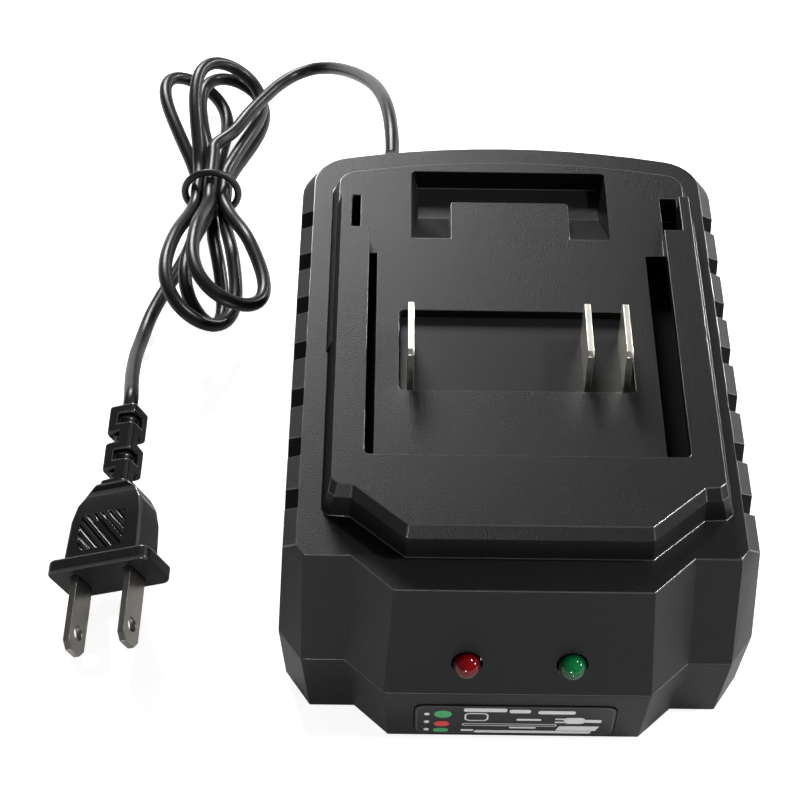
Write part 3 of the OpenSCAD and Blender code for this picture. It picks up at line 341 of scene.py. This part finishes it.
# Share of the room beside an edge that its rounding may take, and the least share of the width worth rounding
ROOM_SHARE = 0.4
LEAST_ROUNDING = 0.12
# A vertex past the end of an edge is in its way only where it is steeper off the line than this
ARC_SLOPE = 0.6
ON_LINE = 0.01 * MM


def room_beside(edge, most):
    """How wide an edge can be rounded before it meets the next corner of its faces"""
    start = edge.verts[0].co
    way = edge.verts[1].co - start
    long = way.length
    way = way / long
    room = most / ROOM_SHARE
    for face in edge.link_faces:
        for vert in face.verts:
            along = (vert.co - start).dot(way)
            aside = (vert.co - start - way * along).length
            beyond = max(0.0, -along, along - long)
            if beyond < most and aside > max(ON_LINE, ARC_SLOPE * beyond):
                room = min(room, aside)
    return min(most, ROOM_SHARE * room)


def settle(thing):
    """Puts the result of a piece's modifiers in place of its mesh"""
    settled = bpy.context.evaluated_depsgraph_get()
    thing.data = bpy.data.meshes.new_from_object(
        thing.evaluated_get(settled), preserve_all_data_layers=True, depsgraph=settled)
    thing.modifiers.clear()


def eased(node, name, width, steps=EASE_STEPS, sharp=SHARP, flat=FLAT):
    """A copy of a CAD node whose sharp edges are rounded, with material slot 1; it replaces the node"""
    mesh = nodes[node].data.copy()
    mesh.materials.clear()
    mesh.materials.append(None)
    mesh.materials.append(None)
    shape = bmesh.new()
    shape.from_mesh(mesh)
    bmesh.ops.remove_doubles(shape, verts=shape.verts, dist=WELD)
    shape.normal_update()
    folded = [face for face in shape.faces if sum(
        face.normal.dot(other.normal) < FOLDED for edge in face.edges for other in edge.link_faces) > 1]
    for face in folded:
        bmesh.ops.dissolve_faces(shape, faces=list({other for edge in face.edges for other in edge.link_faces}))
    bmesh.ops.dissolve_limit(shape, angle_limit=flat, verts=shape.verts, edges=shape.edges)
    shape.normal_update()
    weight = shape.edges.layers.float.new("bevel_weight_edge")
    corners = [edge for edge in shape.edges if len(edge.link_faces) == 2 and edge.calc_face_angle(0) > sharp]
    room = {edge: room_beside(edge, width) for edge in corners}
    narrow = {}
    for edge in corners:
        for vert in edge.verts:
            narrow[vert] = min(narrow.get(vert, width), room[edge])
    for edge in corners:
        share = min(narrow[vert] for vert in edge.verts) / width
        edge.smooth = share > LEAST_ROUNDING
        edge[weight] = share if edge.smooth else 0
    for face in shape.faces:
        face.smooth = True
    shape.to_mesh(mesh)
    shape.free()
    thing = bpy.data.objects.new(name, mesh)
    bpy.context.scene.collection.objects.link(thing)
    bevel = thing.modifiers.new("ease", "BEVEL")
    bevel.width = width
    bevel.segments = steps
    bevel.limit_method = "WEIGHT"
    bevel.use_clamp_overlap = False
    bevel.face_strength_mode = "FSTR_ALL"
    bevel.material = 1
    level = thing.modifiers.new("level", "WEIGHTED_NORMAL")
    level.keep_sharp = True
    level.use_face_influence = True
    settle(thing)
    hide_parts(node)
    return thing


shell_plastic = Finish("shell_plastic", base_color=(0.009, 0.009, 0.0093), roughness=0.36, specular_ior_level=0.22)
grain = shell_plastic.noise(2600, detail=3, rough=0.65)
cloud = shell_plastic.noise(22, detail=2)
shell_plastic.set("Base Color", shell_plastic.blend(cloud, (0.008, 0.008, 0.0083), (0.0105, 0.0105, 0.0108)))
shell_plastic.set("Roughness", 0.28 + grain * 0.1 + cloud * 0.05)
shell_plastic.bump(grain, 0.00009, 0.8)

# Upward-facing edges: glossier plastic, with a lighter colour that is a painted highlight.
shell_edge_highlight = Finish("shell_edge_highlight", base_color=(0.06, 0.06, 0.061), roughness=0.2, specular_ior_level=0.9)
edge_highlight_mottle = shell_edge_highlight.noise(180, detail=3)
shell_edge_highlight.set("Base Color", shell_edge_highlight.blend(edge_highlight_mottle, (0.045, 0.045, 0.046), (0.08, 0.08, 0.081)))
shell_edge_highlight.set("Roughness", 0.15 + edge_highlight_mottle * 0.1)
# Channels and grooves: dull plastic, with a darker colour that is painted shade.
shell_recess_shade = Finish("shell_recess_shade", base_color=(0.003, 0.003, 0.0031), roughness=0.7, specular_ior_level=0.08)
coarse = shell_recess_shade.noise(2600, detail=3, rough=0.65)
shell_recess_shade.set("Base Color", shell_recess_shade.blend(coarse, (0.002, 0.002, 0.002), (0.004, 0.004, 0.0042)))
shell_recess_shade.set("Roughness", 0.62 + coarse * 0.16)

# Edges with the painted highlight face up at least this much; backs, ends and floors of grooves are told by their turn
EDGE_UP = 0.38
BACK_TURN = 0.9
END_TURN = 0.5
FLOOR_TURN = 0.98
# Boxes that hold the open channels, and the grooves between the ribs, on either side
CHANNEL_X = (0.0255, 0.0405)
CHANNEL_Y = (-0.036, 0.0285)
CHANNEL_Z = (0.04, 0.0499)
GROOVE_X = (0.0432, 0.06)
GROOVE_Y = (-0.0435, 0.0495)
GROOVE_Z = (0.0219, 0.0457)
GROOVE_BACK = 0.0437


def inside(place, *spans):
    """True where each coordinate of a place, x taken on either side, is in its span"""
    return all(low < value < high for value, (low, high) in zip((abs(place.x), place.y, place.z), spans))


def is_deep(face):
    """True for the walls and floors of the channels and of the grooves between the ribs"""
    if inside(face.center, CHANNEL_X, CHANNEL_Y, CHANNEL_Z):
        return True
    back = abs(face.normal.x) > BACK_TURN and abs(face.center.x) < GROOVE_BACK
    return inside(face.center, GROOVE_X, GROOVE_Y, GROOVE_Z) and (
        back or abs(face.normal.y) > END_TURN or face.normal.z > FLOOR_TURN)


def dress_eased(thing, finish, deep=lambda face: False):
    """Dresses an eased piece, with a glossier finish painted brighter as a highlight on edges that face up, and a dull
    one painted darker as shade where it is deep
    """
    kinds = [2 if deep(face) else int(face.material_index == 1 and face.normal.z > EDGE_UP)
             for face in thing.data.polygons]
    dress(thing, finish)
    thing.data.materials.append(shell_edge_highlight.material)
    if 2 in kinds:
        thing.data.materials.append(shell_recess_shade.material)
    thing.data.polygons.foreach_set("material_index", kinds)


dress_eased(eased("upper_case", "upper_shell", EASE), shell_plastic, is_deep)
dress_eased(eased("lower_case", "lower_shell", EASE), shell_plastic)

# Terminals
# Tinned brass blades stand in a glass-filled nylon block that closes the pocket in the deck.
# They are stamped, so their edges are slightly round and their faces carry fine draw lines.
blade_metal = Finish("blade_metal", base_color=(0.86, 0.82, 0.71), metallic=1.0, roughness=0.26)
drawn = blade_metal.noise(1, blade_metal.place((900, 90, 5200)), detail=3)
stain = blade_metal.noise(240, detail=3)
blade_metal.set("Base Color", blade_metal.blend(stain, (0.88, 0.84, 0.72), (0.96, 0.94, 0.86)))
blade_metal.set("Roughness", 0.26 + drawn * 0.16)
blade_metal.bump(drawn, 0.00002, 0.5)
for name in ("blade_positive", "blade_sense", "blade_negative"):
    dress(eased(name, name.replace("blade", "terminal"), EASE), blade_metal)

nylon = Finish("nylon", base_color=(0.009, 0.009, 0.0095), roughness=0.4, specular_ior_level=0.2)
fibres = nylon.noise(1, nylon.place((1500, 4200, 1500)), detail=3)
nylon.set("Roughness", 0.36 + fibres * 0.14)
nylon.bump(fibres, 0.00004, 0.5)
dress(nodes["terminal_block"], nylon)
dress(nodes["cord_clamp"], nylon)

# Indicator lamps
# Domed epoxy lamps, red and green, stand proud of two round holes in the front panel.
# Unlit, the tinted resin is painted brightest in the middle of the dome and nearly black at its rim, about an axis
# towards the camera: a painted highlight and painted shade.
LENS_R = 2.7 * MM
LENS_TOWARD_CAMERA = (0.0, -0.69, 0.724)
LENS_EASE = 0.06 * MM
LENS_FLAT = math.radians(0.05)
LENS_SHARP = math.radians(50)
for node, slot, dark, clear in (("led_red", "red_lens", (0.03, 0.0, 0.001), (0.24, 0.0, 0.004)),
                                ("led_green", "green_lens", (0.0, 0.02, 0.008), (0.003, 0.19, 0.05))):
    resin = Finish(node + "_resin", base_color=clear, roughness=0.12, coat_weight=0.25, coat_roughness=0.03,
                   specular_ior_level=0.3)
    nose = min(nodes[node].data.vertices, key=lambda vertex: vertex.co.y).co
    low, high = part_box(node)
    middle = Vector(((low.x + high.x) / 2, nose.y + LENS_R, nose.z))
    # Painted highlight and shade: the colour is brightest on the axis towards the camera and darkest at the rim seen
    # from there.
    away = resin.add("ShaderNodeVectorMath", {"operation": "SUBTRACT"},
                     {0: resin.add("ShaderNodeTexCoord", out="Object"), 1: middle})
    deep = resin.add("ShaderNodeVectorMath", {"operation": "PROJECT"}, {0: away, 1: LENS_TOWARD_CAMERA})
    aside = resin.add("ShaderNodeVectorMath", {"operation": "SUBTRACT"}, {0: away, 1: deep})
    distance = resin.add("ShaderNodeVectorMath", {"operation": "LENGTH"}, {0: aside}, out="Value")
    lens_painted_light = resin.ramp(distance / LENS_R, [(0.0, 1.0), (0.5, 0.8), (0.85, 0.25), (1.0, 0.0)])
    resin.set("Base Color", resin.blend(lens_painted_light, dark, clear))
    resin.set("Roughness", 0.08 + resin.noise(400) * 0.06)
    lens = eased(node, node.replace("led", "lamp"), LENS_EASE, flat=LENS_FLAT, sharp=LENS_SHARP)
    dress(lens, resin)

# Front label
# A dark film plate in a shallow recess of the front band, edged by a fine groove line.
# Its raised ink shows three blank status pills with a pip beside each, and plain bars.
LABEL_AT = Vector((0, -0.065755, 0.00837))
LABEL_OUT = Vector((0, -0.9894, -0.1455))
LABEL_UP = Vector((0, -0.1455, 0.9894))
# Thickness of the ink and all sizes of marks are in millimetres
INK_T = 0.05
ROUND = 9.0
label_film = Finish("label_film", base_color=(0.014, 0.014, 0.015), roughness=0.35, specular_ior_level=0.3)
sheen = label_film.noise(60, detail=2)
label_film.set("Roughness", 0.3 + sheen * 0.1)
label_film.bump(label_film.noise(1800, detail=2), 0.00002, 0.4)
dress(nodes["front_label"], label_film)


def plain_finish(name, colours, rough, grain_scale, depth, metal=0.0):
    """Two close colours mixed by a fine grain that also roughens the surface"""
    finish = Finish(name, base_color=colours[0], metallic=metal, roughness=rough)
    speck = finish.noise(grain_scale, detail=3, rough=0.6)
    finish.set("Base Color", finish.blend(speck, *colours))
    finish.set("Roughness", rough - 0.06 + speck * 0.12)
    finish.bump(speck, depth, 0.5)
    return finish


def on_label(u, v, w):
    """Place on the label, in millimetres across, up and out of its face"""
    return LABEL_AT + MM * (Vector((u, 0, 0)) + v * LABEL_UP + w * LABEL_OUT)


def rounded(u, v, wide, high, radius=ROUND, lean=0.0, steps=5):
    """Outline of a bar with round ends or corners, its top pushed aside by lean"""
    radius = min(radius, wide / 2, high / 2)
    line = []
    for across, along, first in ((1, 1, 0), (-1, 1, 90), (-1, -1, 180), (1, -1, 270)):
        for k in range(steps + 1):
            angle = math.radians(first + 90 * k / steps)
            y = along * (high / 2 - radius) + radius * math.sin(angle)
            line.append((u + across * (wide / 2 - radius) + radius * math.cos(angle) + lean * y, v + y))
    return line


def printed(name, shapes, finish):
    """Ink raised off the film: filled outlines, or frames between two outlines"""
    points, faces = [], []
    for outer, inner in shapes:
        first, n = len(points), len(outer)
        levels = [(outer, 0), (outer, INK_T)] + ([(inner, INK_T), (inner, 0)] if inner else [])
        for ring, w in levels:
            points += [tuple(on_label(u, v, w)) for u, v in ring]
        for i in range(len(levels) - 1):
            for k in range(n):
                a, b = first + i * n + k, first + i * n + (k + 1) % n
                faces.append((a, b, b + n, a + n))
        if not inner:
            faces.append(tuple(range(first + n, first + 2 * n)))
    mesh = bpy.data.meshes.new(name)
    mesh.from_pydata(points, [], faces)
    thing = bpy.data.objects.new(name, mesh)
    bpy.context.scene.collection.objects.link(thing)
    dress(thing, finish)


# Bars: place across and up, width, height, radius of the corners, lean
WHITE_BARS = [
    (-6.0, 4.35, 8.6, 1.5, 0.5), (0.9, 3.95, 4.2, 1.5, 0.5), (8.2, 3.6, 7.4, 1.4, 0.5), (2.8, 0.35, 5.0, 0.8),
    (11.9, 0.1, 4.2, 2.6, 0.9), (15.6, 0.0, 3.4, 1.2, 0.2), (9.2, 0.75, 2.4, 0.55), (9.2, -0.6, 2.4, 0.55),
    (1.7, -3.2, 5.4, 0.6), (-9.4, -4.55, 2.6, 0.8, 0.3), (12.7, -3.3, 8.0, 2.0, 0.1, 0.35),
    (3.8, -5.0, 23.4, 1.0, 0.1, 0.35)]
WHITE_FRAMES = [((-7.7, 1.3, 4.8, 3.4, 1.1), (-7.7, 1.3, 4.1, 2.7, 0.8)),
                ((-1.0, -2.0, 19.0, 1.0), (-1.0, -2.0, 18.6, 0.6))]
GREEN_PILLS = [(-14.4, 2.4, 3.5, 3.1), (-14.7, -4.6, 3.1, 1.7)]
RED_PILLS = [(-14.6, -1.8, 3.1, 2.2)]
ink_white = plain_finish("ink_white", ((0.84, 0.84, 0.83), (0.92, 0.92, 0.91)), 0.4, 900, 0.00002)
ink_green = plain_finish("ink_green", ((0.06, 0.42, 0.13), (0.09, 0.50, 0.17)), 0.4, 900, 0.00002)
ink_red = plain_finish("ink_red", ((0.80, 0.05, 0.055), (0.92, 0.08, 0.085)), 0.4, 900, 0.00002)
ink_line = plain_finish("ink_line", ((0.085, 0.085, 0.088), (0.12, 0.12, 0.125)), 0.4, 900, 0.00002)
printed("label_edge", [(rounded(0, 0, 39.3, 11.3, 1.9), rounded(0, 0, 39.0, 11.0, 1.75))], ink_line)
printed("label_bars", [(rounded(*bar), None) for bar in WHITE_BARS]
        + [(rounded(*outer), rounded(*inner)) for outer, inner in WHITE_FRAMES], ink_white)
printed("label_pill_green", [(rounded(*pill), None) for pill in GREEN_PILLS], ink_green)
printed("label_pill_red", [(rounded(*pill), None) for pill in RED_PILLS], ink_red)

PIP_AT = (-17.6, 2.4)
PIP_SIDES = 20
PIP_INPUTS = {"Count": ("NodeSocketInt", 3), "Step": ("NodeSocketVector", (0, -3.4 * MM, 0)),
              "Radius": ("NodeSocketFloat", 0.55 * MM), "Depth": ("NodeSocketFloat", 2 * INK_T * MM),
              "Ink": ("NodeSocketMaterial", ink_white.material)}
pips = bpy.data.node_groups.new("pips", "GeometryNodeTree")
for label, (kind, value) in PIP_INPUTS.items():
    pips.interface.new_socket(label, in_out="INPUT", socket_type=kind)
pips.interface.new_socket("Pips", in_out="OUTPUT", socket_type="NodeSocketGeometry")
given = pips.nodes.new("NodeGroupInput")
row, disc, scatter, solid, inked, result = (pips.nodes.new(kind) for kind in (
    "GeometryNodeMeshLine", "GeometryNodeMeshCylinder", "GeometryNodeInstanceOnPoints",
    "GeometryNodeRealizeInstances", "GeometryNodeSetMaterial", "NodeGroupOutput"))
disc.inputs["Vertices"].default_value = PIP_SIDES
for source, target in (
        (given.outputs["Count"], row.inputs["Count"]), (given.outputs["Step"], row.inputs["Offset"]),
        (given.outputs["Radius"], disc.inputs["Radius"]), (given.outputs["Depth"], disc.inputs["Depth"]),
        (row.outputs[0], scatter.inputs["Points"]), (disc.outputs[0], scatter.inputs["Instance"]),
        (scatter.outputs[0], solid.inputs[0]), (solid.outputs[0], inked.inputs["Geometry"]),
        (given.outputs["Ink"], inked.inputs["Material"]), (inked.outputs[0], result.inputs[0])):
    pips.links.new(source, target)
grown = bpy.data.objects.new("label_pips", bpy.data.meshes.new("label_pips"))
bpy.context.scene.collection.objects.link(grown)
maker = grown.modifiers.new("pips", "NODES")
maker.node_group = pips
for item in pips.interface.items_tree:
    if item.in_out == "INPUT":
        maker[item.identifier] = PIP_INPUTS[item.name][1]
settle(grown)
turned = Matrix((Vector((1, 0, 0)), LABEL_UP, LABEL_OUT)).transposed().to_4x4()
grown.data.transform(Matrix.Translation(on_label(*PIP_AT, 0)) @ turned)
dress(grown, ink_white)

# Feet, screws and rating plate
# Four moulded rubber feet sit in sockets of the lower shell, beside four zinc-plated screws.
# The rating plate is a blank brushed foil.
foot_rubber = Finish("foot_rubber", base_color=(0.018, 0.018, 0.018), roughness=0.75)
foot_rubber.bump(foot_rubber.noise(1900, detail=3), 0.00006, 0.7)
foot_rubber.set("Roughness", 0.66 + foot_rubber.noise(300) * 0.2)
dress(nodes["rubber_feet"], foot_rubber)

screw_zinc = Finish("screw_zinc", base_color=(0.5, 0.5, 0.52), metallic=1.0, roughness=0.35)
spangle = screw_zinc.noise(900, detail=3)
screw_zinc.set("Base Color", screw_zinc.blend(spangle, (0.42, 0.42, 0.44), (0.6, 0.6, 0.61)))
screw_zinc.set("Roughness", 0.28 + spangle * 0.2)
for node in ("case_screws", "board_screws", "clamp_screws"):
    dress(nodes[node], screw_zinc)

plate_foil = Finish("plate_foil", base_color=(0.7, 0.71, 0.72), metallic=0.8, roughness=0.4)
strokes = plate_foil.noise(1, plate_foil.place((60, 6000, 6000)), detail=2)
plate_foil.set("Roughness", 0.32 + strokes * 0.2)
plate_foil.set("Base Color", plate_foil.blend(strokes, (0.62, 0.63, 0.64), (0.78, 0.79, 0.8)))
dress(nodes["rating_plate"], plate_foil)

# Cord grommet, band and plug
# The grommet and the band are soft rubber. The plug is moulded in matt black PVC round two
# nickel-plated blades, with ribbed grips and a slotted relief.
dress(nodes["cord_grommet"], foot_rubber)
dress(nodes["cord_jacket"], cord_sheath)
band_rubber = Finish("band_rubber", base_color=(0.011, 0.011, 0.011), roughness=0.4)
band_rubber.set("Roughness", 0.34 + band_rubber.noise(1500) * 0.16)
band_rubber.bump(band_rubber.noise(2400, detail=3), 0.00004, 0.5)
dress(nodes["cord_tie"], band_rubber)

plug_pvc = Finish("plug_pvc", base_color=(0.009, 0.009, 0.0095), roughness=0.42, specular_ior_level=0.25)
plug_grain = plug_pvc.noise(3200, detail=3, rough=0.6)
plug_pvc.set("Roughness", 0.34 + plug_grain * 0.14)
plug_pvc.bump(plug_grain, 0.00004, 0.5)
plug_shell = eased("plug_body", "plug_shell", 0.6 * MM, steps=3)
# The plug's upward-facing edges get the same painted edge highlight.
dress_eased(plug_shell, plug_pvc)

nickel = Finish("nickel", base_color=(0.36, 0.34, 0.31), metallic=1.0, roughness=0.3)
rolled = nickel.noise(1, nickel.place((5200, 60, 5200)), detail=3)
nickel.set("Roughness", 0.22 + rolled * 0.2)
nickel.set("Base Color", nickel.blend(nickel.noise(180, detail=3), (0.30, 0.28, 0.25), (0.42, 0.40, 0.37)))
nickel.bump(rolled, 0.00002, 0.5)
plug_pins = eased("plug_blades", "plug_pins", EASE)
dress(plug_pins, nickel)

# Circuit boards and what they carry
# The main board holds the supply; a small board behind the front panel carries the lamps.
# Everything here is closed in by the shells.
solder_mask = Finish("solder_mask", base_color=(0.03, 0.17, 0.08), roughness=0.35)
tracks = solder_mask.add("ShaderNodeTexVoronoi", {"distance": "CHEBYCHEV"},
                         {"Vector": solder_mask.place(), "Scale": 160.0})
solder_mask.set("Base Color", solder_mask.blend(solder_mask.ramp(tracks, [(0.3, 0.0), (0.34, 1.0)]),
                                                (0.045, 0.24, 0.11), (0.02, 0.13, 0.06)))
solder_mask.set("Roughness", 0.3 + solder_mask.noise(500) * 0.15)
for node in ("main_board", "led_board"):
    dress(nodes[node], solder_mask)

inner_finishes = {
    "ferrite": plain_finish("ferrite", ((0.05, 0.05, 0.05), (0.11, 0.11, 0.11)), 0.6, 1500, 0.00004),
    "winding": plain_finish("winding_tape", ((0.7, 0.52, 0.06), (0.8, 0.62, 0.12)), 0.35, 700, 0.00003),
    "capacitor_sleeve": plain_finish("capacitor_sleeve", ((0.02, 0.03, 0.1), (0.03, 0.045, 0.14)), 0.3, 900, 0.00002),
    "film_capacitor": plain_finish("film_capacitor", ((0.72, 0.5, 0.05), (0.8, 0.58, 0.08)), 0.35, 900, 0.00002),
    "disc_capacitor": plain_finish("disc_capacitor", ((0.04, 0.16, 0.5), (0.06, 0.22, 0.6)), 0.3, 1200, 0.00003),
    "package_plastic": plain_finish("package_plastic", ((0.02, 0.02, 0.02), (0.035, 0.035, 0.035)), 0.5, 2500, 0.00002),
    "fuse_ceramic": plain_finish("fuse_ceramic", ((0.7, 0.7, 0.66), (0.8, 0.8, 0.77)), 0.3, 600, 0.00001),
    "sink_aluminium": plain_finish("sink_aluminium", ((0.66, 0.67, 0.69), (0.76, 0.77, 0.79)), 0.35, 800, 0.00002, 1.0),
    "wire_jacket": plain_finish("wire_jacket", ((0.3, 0.03, 0.025), (0.4, 0.05, 0.04)), 0.35, 900, 0.00002),
}
for entry in frame["record"]["subparts"]:
    if entry["material_slot"] in inner_finishes:
        dress(nodes[entry["node"]], inner_finishes[entry["material_slot"]])

# Floor, lamps and world
# A plain white table under a soft box behind on the left. Small lamps on the right draw the
# edge lines, a low one in front lights the label, and the surround is a weak grey.
FLOOR_SIZE = 8.0
FLOOR_Z = -0.0001
SURROUND = 0.12
FLOOR_SEEN = (0.88, 0.88, 0.88)
FLOOR_MIRRORED = (0.15, 0.15, 0.15)
floor_mesh = bpy.data.meshes.new("floor")
half = FLOOR_SIZE / 2
floor_mesh.from_pydata([(x * half, y * half, FLOOR_Z) for x, y in ((-1, -1), (1, -1), (1, 1), (-1, 1))],
                       [], [(0, 1, 2, 3)])
floor = bpy.data.objects.new("floor", floor_mesh)
bpy.context.scene.collection.objects.link(floor)
floor_white = Finish("floor_white", base_color=(0.8, 0.8, 0.8), roughness=0.9, specular_ior_level=0.0,
                     emission_strength=1.0)
seen, mirrored, through = (floor_white.add("ShaderNodeLightPath", out=ray) for ray in (
    "Is Camera Ray", "Is Glossy Ray", "Is Transmission Ray"))
glimpsed = floor_white.blend(mirrored + through, (0, 0, 0), FLOOR_MIRRORED)
floor_white.set("Emission Color", floor_white.blend(seen, glimpsed, FLOOR_SEEN))
floor.data.materials.append(floor_white.material)

world = bpy.data.worlds.new("surround")
bpy.context.scene.world = world
world.use_nodes = True
surround = world.node_tree.nodes["Background"]
surround.inputs["Color"].default_value = (1, 1, 1, 1)
surround.inputs["Strength"].default_value = SURROUND


def lamp(name, at, aim, size, power):
    """Rectangular soft box that points at a place on the charger"""
    light = bpy.data.lights.new(name, "AREA")
    light.shape = "RECTANGLE"
    light.size, light.size_y = size
    light.energy = power
    holder = bpy.data.objects.new(name, light)
    aimed = (Vector(aim) - Vector(at)).to_track_quat("-Z", "Y")
    holder.matrix_world = Matrix.Translation(at) @ aimed.to_matrix().to_4x4()
    bpy.context.scene.collection.objects.link(holder)


# Lamps: place, place aimed at, size, watts
for name, *rest in (("soft_box", (-0.21, 0.80, 0.50), (0, 0, 0.04), (0.32, 0.26), 8.1),
                    ("edge_lamp", (0.50, 0.06, 0.72), (0.02, 0, 0.04), (0.05, 0.05), 4.4),
                    ("rim_lamp", (0.62, 0.68, 0.36), (0.04, 0, 0.04), (0.05, 0.05), 2.6),
                    ("side_lamp", (0.86, -0.12, 0.34), (0.04, -0.03, 0.03), (0.12, 0.12), 2.5),
                    ("front_lamp", (-0.16, -0.98, 0.045), (0, -0.06, 0.01), (0.12, 0.06), 2.2)):
    lamp(name, *rest)

bpy.context.scene.view_settings.view_transform = "Standard"
